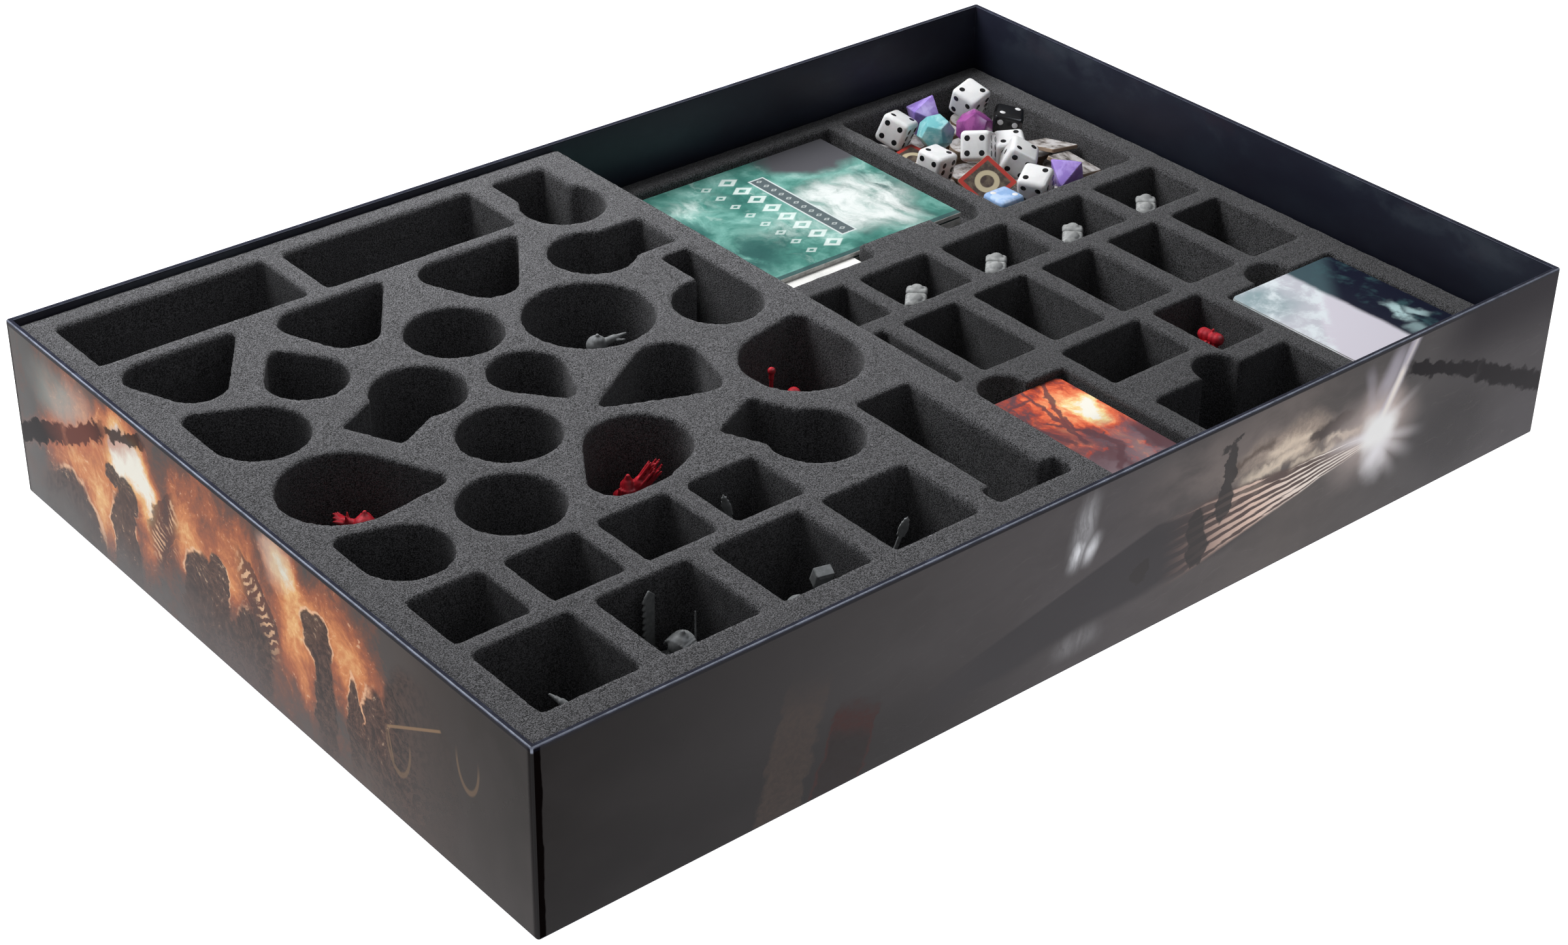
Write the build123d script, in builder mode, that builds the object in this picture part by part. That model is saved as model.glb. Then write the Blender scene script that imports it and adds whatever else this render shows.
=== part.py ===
from build123d import *

import os
from math import acos, atan2, cos, degrees, hypot, pi, sin, sqrt

# Compartmented foam insert in the base of a large board game box. Millimetres, +Z up.
# X runs along the long side, -Y is the front wall, and the origin is under the middle of the box.

# Box base: grey board panels, taped at the corners and wrapped in printed paper
BOX_LENGTH = 580.0
BOX_WIDTH = 392.0
BOX_HEIGHT = 88.0
BOARD = 2.0
PAPER = 0.3
TAPE = 0.15
TURN_UNDER = 15.0
STAY_LEG = 22.0
STAY_MARGIN = 4.0

BOARD_LENGTH = BOX_LENGTH - 2 * PAPER
BOARD_WIDTH = BOX_WIDTH - 2 * PAPER
ROOM_LENGTH = BOARD_LENGTH - 2 * BOARD - 2 * PAPER
ROOM_WIDTH = BOARD_WIDTH - 2 * BOARD - 2 * PAPER
WALL_TOP = BOX_HEIGHT - PAPER
FLOOR_TOP = PAPER + BOARD + PAPER

# Foam trays: an upper tray on a lower tray on the left, and one tray on the right
SLIP = 0.5
TRAY_SPLIT = 5.0
BASE_SHEET = 5.0
LOWER_TRAY_HEIGHT = 27.0
UPPER_TRAY_HEIGHT = 55.0
RIGHT_TRAY_HEIGHT = 50.0

TRAY_WIDTH = ROOM_WIDTH - 2 * SLIP
LEFT_START = -ROOM_LENGTH / 2 + SLIP
LEFT_END = TRAY_SPLIT - SLIP
RIGHT_START = TRAY_SPLIT + SLIP
RIGHT_END = ROOM_LENGTH / 2 - SLIP
UPPER_FLOOR = FLOOR_TOP + LOWER_TRAY_HEIGHT
RIGHT_TOP = FLOOR_TOP + RIGHT_TRAY_HEIGHT

# Pockets: the rows share an edge line, and equal pockets repeat at one pitch
BACK_ROW_END = 181.0
FRONT_ROW_START = -177.5
CARD_ROW_START = -181.0
SMALL_SQUARE = (35.0, 34.0)
LARGE_SQUARE = 45.0
FINGER_RADIUS = 12.5
BOOKLET_RECESS = 12.0

# Contents
CARD = (70.0, 100.0)
CARD_PACK = 6.0
DECK_SLIP = 0.3
BOOKLET = (150.0, 109.0)
BOOKLET_THICKNESS = 2.4
LEAFLET = (77.0, 104.0, 0.8)
DIE = 16.0
DIE_ROUNDING = 2.4
COUNTER = 22.0
COUNTER_THICKNESS = 2.0
PAWN_HEIGHT = 36.0
PAWN_BASE_RADIUS = 12.5
PAWN_BASE_HEIGHT = 3.0
PAWN_HOOD = 6.0
PAWN_REACH = 10.0

os.makedirs("parts", exist_ok=True)

ON_FLOOR = (Align.CENTER, Align.CENTER, Align.MIN)


# ---------------------------------------------------------------- pocket outlines


def oblong(x_start, x_end, y_start, y_end):
    """A straight-sided pocket."""
    with Locations(((x_start + x_end) / 2, (y_start + y_end) / 2)):
        Rectangle(x_end - x_start, y_end - y_start)


def oblong_row(x_start, pitch, count, y_start, size):
    """Equal straight-sided pockets side by side."""
    for i in range(count):
        left = x_start + i * pitch
        oblong(left, left + size[0], y_start, y_start + size[1])


def round_pocket(x, y, radius):
    """A pocket for a round base."""
    with Locations((x, y)):
        Circle(radius)


def keyhole(x, y, radius, slot_width, reach, angle):
    """A round pocket with a straight slot that leaves it at an angle from +X and ends at reach."""
    with Locations((x, y)):
        Circle(radius)
        Rectangle(reach, slot_width, rotation=angle, align=(Align.MIN, Align.CENTER))


def band(*circles):
    """A pocket outlined by a band stretched round circles (x, y, radius), given anticlockwise."""
    following = circles[1:] + circles[:1]
    normals = []
    for (x, y, radius), (next_x, next_y, next_radius) in zip(circles, following):
        heading = atan2(next_y - y, next_x - x)
        lean = acos((radius - next_radius) / hypot(next_x - x, next_y - y))
        normals.append(heading - lean)
    with BuildLine() as outline:
        for i, (x, y, radius) in enumerate(circles):
            turn = (normals[i] - normals[i - 1]) % (2 * pi)
            arc = CenterArc((x, y), radius, degrees(normals[i - 1]), degrees(turn))
            next_x, next_y, next_radius = following[i]
            next_start = (next_x + next_radius * cos(normals[i]), next_y + next_radius * sin(normals[i]))
            Line(arc @ 1, next_start)
    make_face(outline.edges())


def card_pocket(x_start, x_end, y_start, y_end, finger_x):
    """A pocket for a deck of cards, with a round finger notch in its back edge."""
    oblong(x_start, x_end, y_start, y_end)
    round_pocket(finger_x, y_end + 2, FINGER_RADIUS)


# ---------------------------------------------------------------- box base

with BuildPart() as floor_board:
    with Locations((0, 0, PAPER)):
        Box(BOARD_LENGTH - 2 * BOARD, BOARD_WIDTH - 2 * BOARD, BOARD, align=ON_FLOOR)
floor_board.part.label = "floor_board"
export_step(floor_board.part, "parts/floor_board.step")

for side, name in ((-1, "front_wall_board"), (1, "back_wall_board")):
    with BuildPart() as long_wall:
        with Locations((0, side * (BOARD_WIDTH - BOARD) / 2, PAPER)):
            Box(BOARD_LENGTH, BOARD, WALL_TOP - PAPER, align=ON_FLOOR)
    long_wall.part.label = name
    export_step(long_wall.part, f"parts/{name}.step")

for side, name in ((-1, "left_wall_board"), (1, "right_wall_board")):
    with BuildPart() as short_wall:
        with Locations((side * (BOARD_LENGTH - BOARD) / 2, 0, PAPER)):
            Box(BOARD, BOARD_WIDTH - 2 * BOARD, WALL_TOP - PAPER, align=ON_FLOOR)
    short_wall.part.label = name
    export_step(short_wall.part, f"parts/{name}.step")

# A strip of paper tape is folded round the outside of each corner, under the wrap
corner_stays = []
for side_x, side_y, name in (
    (-1, -1, "corner_stay_front_left"),
    (1, -1, "corner_stay_front_right"),
    (-1, 1, "corner_stay_back_left"),
    (1, 1, "corner_stay_back_right"),
):
    corner_x = side_x * BOARD_LENGTH / 2
    corner_y = side_y * BOARD_WIDTH / 2
    with BuildPart() as corner_stay:
        with BuildSketch(Plane.XY.offset(STAY_MARGIN)):
            with Locations((corner_x - side_x * STAY_LEG / 2, corner_y - side_y * STAY_LEG / 2)):
                Rectangle(STAY_LEG + 2 * TAPE, STAY_LEG + 2 * TAPE)
            Rectangle(BOARD_LENGTH, BOARD_WIDTH, mode=Mode.SUBTRACT)
        extrude(amount=BOX_HEIGHT - 2 * STAY_MARGIN)
    corner_stay.part.label = name
    export_step(corner_stay.part, f"parts/{name}.step")
    corner_stays.append(corner_stay.part)

# One sheet covers the outside, folds over the rim, and is turned in and turned under
with BuildPart() as printed_wrap:
    Box(BOX_LENGTH, BOX_WIDTH, BOX_HEIGHT, align=ON_FLOOR)
    with Locations((0, 0, FLOOR_TOP)):
        Box(ROOM_LENGTH, ROOM_WIDTH, BOX_HEIGHT, align=ON_FLOOR, mode=Mode.SUBTRACT)
    with Locations((0, 0, PAPER)):
        Box(BOARD_LENGTH, BOARD_WIDTH, BOARD + PAPER, align=ON_FLOOR, mode=Mode.SUBTRACT)
    with BuildSketch(Plane.XY.offset(PAPER)):
        Rectangle(BOARD_LENGTH, BOARD_WIDTH)
        Rectangle(ROOM_LENGTH + 2 * PAPER, ROOM_WIDTH + 2 * PAPER, mode=Mode.SUBTRACT)
    extrude(amount=WALL_TOP - PAPER, mode=Mode.SUBTRACT)
    Box(BOX_LENGTH - 2 * TURN_UNDER, BOX_WIDTH - 2 * TURN_UNDER, PAPER, align=ON_FLOOR, mode=Mode.SUBTRACT)
    add(corner_stays, mode=Mode.SUBTRACT)
printed_wrap.part.label = "printed_wrap"
export_step(printed_wrap.part, "parts/printed_wrap.step")

with BuildPart() as base_sheet:
    Box(BOX_LENGTH - 2 * TURN_UNDER, BOX_WIDTH - 2 * TURN_UNDER, PAPER, align=ON_FLOOR)
base_sheet.part.label = "base_sheet"
export_step(base_sheet.part, "parts/base_sheet.step")

with BuildPart() as floor_liner:
    with Locations((0, 0, PAPER + BOARD)):
        Box(BOARD_LENGTH - 2 * BOARD, BOARD_WIDTH - 2 * BOARD, PAPER, align=ON_FLOOR)
floor_liner.part.label = "floor_liner"
export_step(floor_liner.part, "parts/floor_liner.step")

# ---------------------------------------------------------------- foam trays
# Each tray is a cut foam block, glued on a plain foam sheet that closes the pockets below

with BuildSketch() as left_outline:
    oblong(LEFT_START, LEFT_END, -TRAY_WIDTH / 2, TRAY_WIDTH / 2)

with BuildSketch() as right_outline:
    oblong(RIGHT_START, RIGHT_END, -TRAY_WIDTH / 2, TRAY_WIDTH / 2)

# Four wide pockets for board tiles, each pair sharing a finger gap
with BuildSketch() as lower_pockets:
    for y_start in (-180, 10):
        oblong(-274, -148, y_start, y_start + 170)
        oblong(-134, -8, y_start, y_start + 170)
        for finger_x in (-211, -71):
            round_pocket(finger_x, y_start + 85, 20)
    for finger_x in (-211, -71):
        oblong(finger_x - 14, finger_x + 14, -12, 12)

with BuildSketch() as upper_pockets:
    # Back row: two long pockets, then a keyhole
    oblong(-275, -170.5, 140, BACK_ROW_END)
    oblong(-160.5, -57, 140, BACK_ROW_END)
    keyhole(-28.5, 143, 20.8, 30, BACK_ROW_END - 143, 90)
    # Round bases with a long arm or weapon
    keyhole(-47, 95, 20.8, 29.5, 38.5, 0)
    round_pocket(-30.5, 23, 21)
    oblong(-25.5, -9.5, 23, 71.5)
    keyhole(-180.5, 38.3, 21.2, 29, 39, 207.5)
    keyhole(-71.5, -92.7, 21.3, 30, 37.5, 115)
    # Plain round bases
    round_pocket(-139.5, 71.5, 22.4)
    round_pocket(-83.7, 48, 30)
    round_pocket(-170, -13.3, 22.5)
    round_pocket(-200.5, -58, 22.5)
    # Figures that lean out over their bases
    for shift in (0, 76, 150):
        band((shift - 262, 119.5, 12), (shift - 251.5, 101, 14.5), (shift - 218.5, 128.5, 3))
    band((-211, 77, 18.3), (-211, 99, 5.5))
    band((-250.5, 50, 21.5), (-266.5, 75.5, 5))
    band((-247, -6.5, 27), (-214.5, -24, 5))
    band((-252.5, -61, 19.3), (-267.5, -41, 4.5))
    band((-134.5, 24, 17.7), (-131.5, 0.5, 5))
    band((-123.5, -18, 3.5), (-81, -28, 9.5), (-81, -6, 15.5))
    band((-157, -69, 12), (-143, -66, 14.5), (-133, -52.5, 23))
    band((-35, -40, 27.5), (-15.5, -15, 7))
    # Two rows of squares and a tee along the front
    oblong_row(-272.3, 44.8, 4, -123.5, SMALL_SQUARE)
    oblong_row(-272, 56.3, 4, FRONT_ROW_START, (LARGE_SQUARE, LARGE_SQUARE))
    oblong(-42.5, -13, FRONT_ROW_START, -84)
    oblong(-47.5, -5.5, FRONT_ROW_START, -166)

with BuildSketch() as right_pockets:
    # Dice and counters
    oblong(181, 273.5, 57, BACK_ROW_END)
    # Two rows of small figures, and two odd ones
    oblong_row(20.5, 52.7, 5, 9.5, (43.3, 34.5))
    oblong_row(15, 45.1, 6, -56.5, (34.3, 55.5))
    oblong(99, 149.5, -101.5, -66.5)
    oblong(159.5, 191, -110, -66.5)
    # Decks of cards, standing open along the front
    card_pocket(15, 90, CARD_ROW_START, -77.5, 55.5)
    card_pocket(101.5, 189, CARD_ROW_START, -123.5, 146)
    card_pocket(199, 273, CARD_ROW_START, -77.5, 232.5)

# Booklets lie in a shallow recess, held back by a tab of foam in its front edge
with BuildSketch(Plane.XY.offset(RIGHT_TOP)) as booklet_outline:
    oblong(15, 172, 57.5, BACK_ROW_END)
    fillet(booklet_outline.vertices().group_by(Axis.Y)[0].sort_by(Axis.X)[-1], 13)
    with Locations((119.5, 57.5)):
        Rectangle(47, 13, align=(Align.CENTER, Align.MIN), mode=Mode.SUBTRACT)

with BuildPart() as lower_tray_base:
    with BuildSketch(Plane.XY.offset(FLOOR_TOP)):
        add(left_outline.sketch)
    extrude(amount=BASE_SHEET)
lower_tray_base.part.label = "lower_tray_base"
export_step(lower_tray_base.part, "parts/lower_tray_base.step")

with BuildPart() as lower_tray_foam:
    with BuildSketch(Plane.XY.offset(FLOOR_TOP + BASE_SHEET)):
        add(left_outline.sketch)
        add(lower_pockets.sketch, mode=Mode.SUBTRACT)
    extrude(amount=LOWER_TRAY_HEIGHT - BASE_SHEET)
lower_tray_foam.part.label = "lower_tray_foam"
export_step(lower_tray_foam.part, "parts/lower_tray_foam.step")

with BuildPart() as upper_tray_base:
    with BuildSketch(Plane.XY.offset(UPPER_FLOOR)):
        add(left_outline.sketch)
    extrude(amount=BASE_SHEET)
upper_tray_base.part.label = "upper_tray_base"
export_step(upper_tray_base.part, "parts/upper_tray_base.step")

with BuildPart() as upper_tray_foam:
    with BuildSketch(Plane.XY.offset(UPPER_FLOOR + BASE_SHEET)):
        add(left_outline.sketch)
        add(upper_pockets.sketch, mode=Mode.SUBTRACT)
    extrude(amount=UPPER_TRAY_HEIGHT - BASE_SHEET)
upper_tray_foam.part.label = "upper_tray_foam"
export_step(upper_tray_foam.part, "parts/upper_tray_foam.step")

with BuildPart() as right_tray_base:
    with BuildSketch(Plane.XY.offset(FLOOR_TOP)):
        add(right_outline.sketch)
    extrude(amount=BASE_SHEET)
right_tray_base.part.label = "right_tray_base"
export_step(right_tray_base.part, "parts/right_tray_base.step")

with BuildPart() as right_tray_foam:
    with BuildSketch(Plane.XY.offset(FLOOR_TOP + BASE_SHEET)):
        add(right_outline.sketch)
        add(right_pockets.sketch, mode=Mode.SUBTRACT)
    extrude(amount=RIGHT_TRAY_HEIGHT - BASE_SHEET)
    add(booklet_outline.sketch)
    extrude(amount=-BOOKLET_RECESS, mode=Mode.SUBTRACT)
right_tray_foam.part.label = "right_tray_foam"
export_step(right_tray_foam.part, "parts/right_tray_foam.step")

# ---------------------------------------------------------------- booklets and cards

BOOKLET_FLOOR = RIGHT_TOP - BOOKLET_RECESS
BOOKLET_MIDDLE = (90.5, 126.0)
LEAFLET_MIDDLE = (55.0, 114.0)

for level, name in enumerate(("booklet_bottom", "booklet_middle", "booklet_top")):
    rise = level * BOOKLET_THICKNESS + (LEAFLET[2] if name == "booklet_top" else 0)
    with BuildPart() as booklet:
        with Locations((*BOOKLET_MIDDLE, BOOKLET_FLOOR + rise)):
            Box(*BOOKLET, BOOKLET_THICKNESS, align=ON_FLOOR)
    booklet.part.label = name
    export_step(booklet.part, f"parts/{name}.step")

with BuildPart() as leaflet:
    with Locations((*LEAFLET_MIDDLE, BOOKLET_FLOOR + 2 * BOOKLET_THICKNESS)):
        Box(*LEAFLET, align=ON_FLOOR)
leaflet.part.label = "leaflet"
export_step(leaflet.part, "parts/leaflet.step")

RIGHT_POCKET_FLOOR = FLOOR_TOP + BASE_SHEET

# Each deck is a pile of packs that don't line up quite
for name, middle_x, middle_y, packs, last_pack in (
    ("card_deck_left", 51.0, -127.9, 6, 5.5),
    ("card_deck_right", 236.0, -127.9, 7, 2.0),
):
    with BuildPart() as deck:
        for i in range(packs + 1):
            slip_x = DECK_SLIP * sin(2.1 * i)
            slip_y = DECK_SLIP * cos(1.7 * i) - DECK_SLIP
            with Locations((middle_x + slip_x, middle_y + slip_y, RIGHT_POCKET_FLOOR + i * CARD_PACK)):
                Box(*CARD, CARD_PACK if i < packs else last_pack, align=ON_FLOOR)
    deck.part.label = name
    export_step(deck.part, f"parts/{name}.step")

# ---------------------------------------------------------------- dice and counters
# Round counters are stacked under the dice, and the dice lie on them as they fell

COUNTER_STACK = 30.0
DICE_FLOOR = RIGHT_POCKET_FLOOR + COUNTER_STACK

with BuildPart() as counter_stacks:
    with Locations((227.2, 119, RIGHT_POCKET_FLOOR)):
        with GridLocations(COUNTER + 0.8, COUNTER + 2, 4, 5):
            Cylinder(COUNTER / 2, COUNTER_STACK, align=ON_FLOOR)
counter_stacks.part.label = "counter_stacks"
export_step(counter_stacks.part, "parts/counter_stacks.step")

with BuildPart() as cube_die:
    Box(DIE, DIE, DIE)
    fillet(cube_die.edges(), DIE_ROUNDING)

OCTAHEDRON_REACH = 12.0
with BuildPart() as eight_sided_die:
    ConvexPolyhedron(
        [(reach, 0, 0) for reach in (-OCTAHEDRON_REACH, OCTAHEDRON_REACH)]
        + [(0, reach, 0) for reach in (-OCTAHEDRON_REACH, OCTAHEDRON_REACH)]
        + [(0, 0, reach) for reach in (-OCTAHEDRON_REACH, OCTAHEDRON_REACH)]
    )

GOLDEN = (1 + sqrt(5)) / 2
DODECAHEDRON_CUBE = 6.0
with BuildPart() as twelve_sided_die:
    half = DODECAHEDRON_CUBE
    near = half / GOLDEN
    far = half * GOLDEN
    signs = [(a, b) for a in (-1, 1) for b in (-1, 1)]
    ConvexPolyhedron(
        [(a * half, b * half, c * half) for a, b in signs for c in (-1, 1)]
        + [(0, a * near, b * far) for a, b in signs]
        + [(a * near, b * far, 0) for a, b in signs]
        + [(b * far, 0, a * near) for a, b in signs]
    )

# Each entry is a centre above the counters, then turns about X, Y and Z
DICE = {
    "white_dice": (
        cube_die,
        (
            ((203.0, 162.0, 11.8), (12, 18, 20)),
            ((243.0, 149.0, 22.5), (20, -8, 12)),
            ((209.0, 106.0, 21.5), (-24, 18, 35)),
            ((221.0, 88.0, 18.0), (24, 14, 40)),
            ((214.5, 68.3, 12.5), (10, -16, 28)),
            ((192.8, 120.5, 10.4), (6, 8, 10)),
            ((236.5, 110.5, 10.4), (4, -8, 55)),
        ),
    ),
    "black_dice": (cube_die, (((254.5, 131.5, 12.0), (8, 6, 42)),)),
    "violet_dice": (
        eight_sided_die,
        (
            ((225.5, 165.5, 13.0), (0, 30, 15)),
            ((236.5, 67.5, 12.5), (40, 10, 30)),
        ),
    ),
    "teal_dice": (twelve_sided_die, (((212.5, 142.0, 15.0), (15, 20, 0)),)),
    "magenta_dice": (twelve_sided_die, (((223.5, 124.5, 21.0), (30, 0, 25)),)),
    "blue_dice": (cube_die, (((189.8, 66.2, 8.0), (0, 0, 0)),)),
}

for name, (die, places) in DICE.items():
    with BuildPart() as dice:
        for (x, y, rise), turns in places:
            with Locations(Location((x, y, DICE_FLOOR + rise), turns)):
                add(die.part)
    dice.part.label = name
    export_step(dice.part, f"parts/{name}.step")

# Square counters leaning on the dice, as centre above the stacks and turns
LOOSE_COUNTERS = (
    ((196.0, 140.8, 4.2), (4, -4, 8)),
    ((196.3, 85.3, 13.0), (27, -25, 8)),
    ((259.8, 104.5, 8.0), (-10, 10, 8)),
    ((254.0, 80.0, 8.0), (8, 16, 12)),
    ((197.0, 94.5, 3.0), (-4, 3, 20)),
)

with BuildPart() as square_counters:
    for (x, y, rise), turns in LOOSE_COUNTERS:
        with Locations(Location((x, y, DICE_FLOOR + rise), turns)):
            Box(COUNTER, COUNTER, COUNTER_THICKNESS)
square_counters.part.label = "square_counters"
export_step(square_counters.part, "parts/square_counters.step")

# ---------------------------------------------------------------- pawns
# Plain robed figures on round bases. What a figure holds is at +X, and stands higher than its hood

with BuildPart() as robed_pawn:
    with BuildSketch(Plane.XZ):
        with BuildLine():
            foot = Polyline(
                (0, 0),
                (PAWN_BASE_RADIUS, 0),
                (PAWN_BASE_RADIUS - 0.8, PAWN_BASE_HEIGHT),
                (8, PAWN_BASE_HEIGHT),
            )
            robe = Spline(foot @ 1, (5.8, 14), (5.2, 21), (4.2, PAWN_HEIGHT - 1.6 * PAWN_HOOD))
            Polyline(robe @ 1, (0, PAWN_HEIGHT - 1.6 * PAWN_HOOD), foot @ 0)
        make_face()
    revolve(axis=Axis.Z)
    with Locations((0, 0, PAWN_HEIGHT - PAWN_HOOD)):
        Sphere(PAWN_HOOD)

with BuildPart() as staff_pawn:
    add(robed_pawn.part)
    with Locations((PAWN_REACH, 0, PAWN_BASE_HEIGHT - 1)):
        Cylinder(1.3, 41, align=ON_FLOOR)
    with Locations((PAWN_REACH, 0, 43)):
        Sphere(1.8)

SWORD_REACH = 16.5
with BuildPart() as sword_pawn:
    add(robed_pawn.part)
    with Locations((0, 0, 27.5)):
        Sphere(8.5)
    with Locations(Location((0, 0, 18), (0, 90, 0))):
        Cylinder(1.9, SWORD_REACH, align=ON_FLOOR)
    with Locations((SWORD_REACH, 0, 13)):
        Box(1.6, 6.4, 33, align=ON_FLOOR)

with BuildPart() as hammer_pawn:
    add(robed_pawn.part)
    with Locations((PAWN_REACH, 0, PAWN_BASE_HEIGHT - 1)):
        Cylinder(1.2, 38, align=ON_FLOOR)
    with Locations(Location((PAWN_REACH, 0, 41), (25, 0, 0))):
        Box(8, 5, 8)

SPEAR_FOOT = Location((3, 0, PAWN_BASE_HEIGHT), (0, 16, 0))
with BuildPart() as spear_pawn:
    add(robed_pawn.part)
    with Locations(SPEAR_FOOT):
        Cylinder(1.2, 36, align=ON_FLOOR)
    with Locations(SPEAR_FOOT * Location((0, 0, 35))):
        Cone(2.2, 0.4, 9, align=ON_FLOOR)

with BuildPart() as sheaf_pawn:
    add(robed_pawn.part)
    with Locations(Location((1, 0, 24), (0, 35, 0))):
        Cone(3, 4.6, 21, align=ON_FLOOR)

with BuildPart() as pointing_pawn:
    add(robed_pawn.part)
    with Locations(Location((0, 0, 31), (0, 80, 0))):
        Cylinder(1.3, 14, align=ON_FLOOR)

with BuildPart() as log_pawn:
    add(robed_pawn.part)
    with Locations(Location((5, 0, 35.5), (90, 0, 0))):
        Cylinder(3.2, 13)

with BuildPart() as broad_pawn:
    add(robed_pawn.part)
    with Locations((0, -5, 35), (0, 5, 35)):
        Sphere(4.8)
    with Locations(Location((0, 0, 35), (90, 0, 0))):
        Cylinder(4.8, 10)

UPPER_POCKET_FLOOR = UPPER_FLOOR + BASE_SHEET

# Each entry is a figure, its place in a pocket, and its turn
PAWNS = {
    "red_pawns_upper": (
        UPPER_POCKET_FLOOR,
        ((pointing_pawn, -238, -7.5, 136), (sheaf_pawn, -137, -50, -35), (staff_pawn, -38, -39, 131)),
    ),
    "grey_pawns_upper": (
        UPPER_POCKET_FLOOR,
        (
            (pointing_pawn, -76, 53, -20),
            (spear_pawn, -116.3, -110.3, 130),
            (pointing_pawn, -246.3, -164.5, 109),
            (sword_pawn, -189.8, -152.7, 100),
            (hammer_pawn, -138.5, -161, -5),
            (spear_pawn, -89, -146.5, -45),
        ),
    ),
    "red_pawn_right": (RIGHT_POCKET_FLOOR, ((log_pawn, 172.6, -88.5, 5),)),
    "grey_pawns_right": (
        RIGHT_POCKET_FLOOR,
        [(broad_pawn, 94.8 + 52.7 * i, 26.7, -45) for i in range(4)],
    ),
}

for name, (pocket_floor, places) in PAWNS.items():
    with BuildPart() as pawns:
        for pawn, x, y, turn in places:
            with Locations(Location((x, y, pocket_floor), (0, 0, turn))):
                add(pawn.part)
    pawns.part.label = name
    export_step(pawns.part, f"parts/{name}.step")
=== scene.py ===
import functools
import math
import random

import bmesh
import bpy
import numpy as np
from mathutils import Matrix, Vector, noise


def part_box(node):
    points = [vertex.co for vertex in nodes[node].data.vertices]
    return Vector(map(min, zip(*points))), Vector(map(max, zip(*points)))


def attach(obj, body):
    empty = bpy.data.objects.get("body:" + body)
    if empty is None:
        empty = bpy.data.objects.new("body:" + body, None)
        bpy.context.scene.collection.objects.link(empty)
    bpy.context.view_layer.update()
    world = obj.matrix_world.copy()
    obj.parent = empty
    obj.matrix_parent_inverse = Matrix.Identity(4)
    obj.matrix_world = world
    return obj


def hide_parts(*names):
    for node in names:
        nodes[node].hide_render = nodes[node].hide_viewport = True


# Looks of a board game box base with compartmented foam trays. Metres, in the frame's own axes.

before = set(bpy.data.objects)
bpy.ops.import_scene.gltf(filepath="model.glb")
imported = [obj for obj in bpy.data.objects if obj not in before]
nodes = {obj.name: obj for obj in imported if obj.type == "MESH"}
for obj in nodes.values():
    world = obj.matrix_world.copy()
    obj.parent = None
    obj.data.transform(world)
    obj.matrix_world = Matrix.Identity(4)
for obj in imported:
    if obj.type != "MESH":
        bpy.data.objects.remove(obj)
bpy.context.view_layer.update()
scene = bpy.context.scene

MM = 0.001
BOX_LOW, BOX_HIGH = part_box("printed_wrap")
BOX_LENGTH = BOX_HIGH.x - BOX_LOW.x
BOX_WIDTH = BOX_HIGH.y - BOX_LOW.y
BOX_HEIGHT = BOX_HIGH.z
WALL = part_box("left_wall_board")[1].x - BOX_LOW.x + 0.3 * MM
FLOOR_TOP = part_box("floor_liner")[1].z

# ---------------------------------------------------------------- meshes


def link(name, mesh):
    """A new object that holds this mesh."""
    piece = bpy.data.objects.new(name, mesh)
    scene.collection.objects.link(piece)
    return piece


def mesh_from(name, bm, smooth=True):
    """A mesh from a bmesh, which is freed."""
    mesh = bpy.data.meshes.new(name)
    bmesh.ops.recalc_face_normals(bm, faces=bm.faces)
    bm.to_mesh(mesh)
    bm.free()
    mesh.polygons.foreach_set("use_smooth", [smooth] * len(mesh.polygons))
    return mesh


def welded(node):
    """A bmesh of a CAD node, with its split corners joined."""
    bm = bmesh.new()
    bm.from_mesh(nodes[node].data)
    bmesh.ops.remove_doubles(bm, verts=bm.verts, dist=1e-6)
    return bm


def loft(bm, rings, caps=True):
    """Faces between closed rings of vertices, and on both ends. Returns the faces."""
    count = len(rings[0])
    faces = []
    for lower, upper in zip(rings, rings[1:]):
        for j in range(count):
            faces.append(bm.faces.new((lower[j], lower[(j + 1) % count], upper[(j + 1) % count], upper[j])))
    if caps:
        faces += [bm.faces.new(rings[-1]), bm.faces.new(rings[0][::-1])]
    return faces


def level_ring(bm, points, height):
    """Vertices at one height, over points in plan."""
    return [bm.verts.new((x, y, height)) for x, y in points]


def circle(steps, radius, middle=(0, 0)):
    """Points round a circle, anticlockwise."""
    angles = [2 * math.pi * i / steps for i in range(steps)]
    return [
        (middle[0] + radius * math.cos(angle), middle[1] + radius * math.sin(angle)) for angle in angles
    ]


def face_slots(mesh, both_sides=False):
    """Slot 0 on the faces that look up (or down too), and slot 1 on the others."""
    for face in mesh.polygons:
        up = abs(face.normal.z) if both_sides else face.normal.z
        face.material_index = 0 if up > 0.9 else 1


def remeshed(piece, voxel):
    """Gives a piece an even skin of small faces. Later modifiers come after it."""
    remesh = piece.modifiers.new("remesh", "REMESH")
    remesh.mode = "VOXEL"
    remesh.voxel_size = voxel


def apply_modifiers(piece):
    """Bakes a piece's modifiers into its mesh."""
    evaluated = piece.evaluated_get(bpy.context.evaluated_depsgraph_get())
    mesh = bpy.data.meshes.new_from_object(evaluated)
    piece.modifiers.clear()
    piece.data = mesh


def wear(piece, *materials):
    """Gives a piece its materials, in slot order."""
    slots = piece.data.materials
    for i, material in enumerate(materials):
        if i < len(slots):
            slots[i] = material
        else:
            slots.append(material)


def finish_piece(piece, body, slot, *replaced):
    """Puts a piece on its body and hides the CAD nodes that it stands for. Its finish, slot, is not used."""
    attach(piece, body)
    if replaced:
        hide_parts(*replaced)


# ---------------------------------------------------------------- materials


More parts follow.
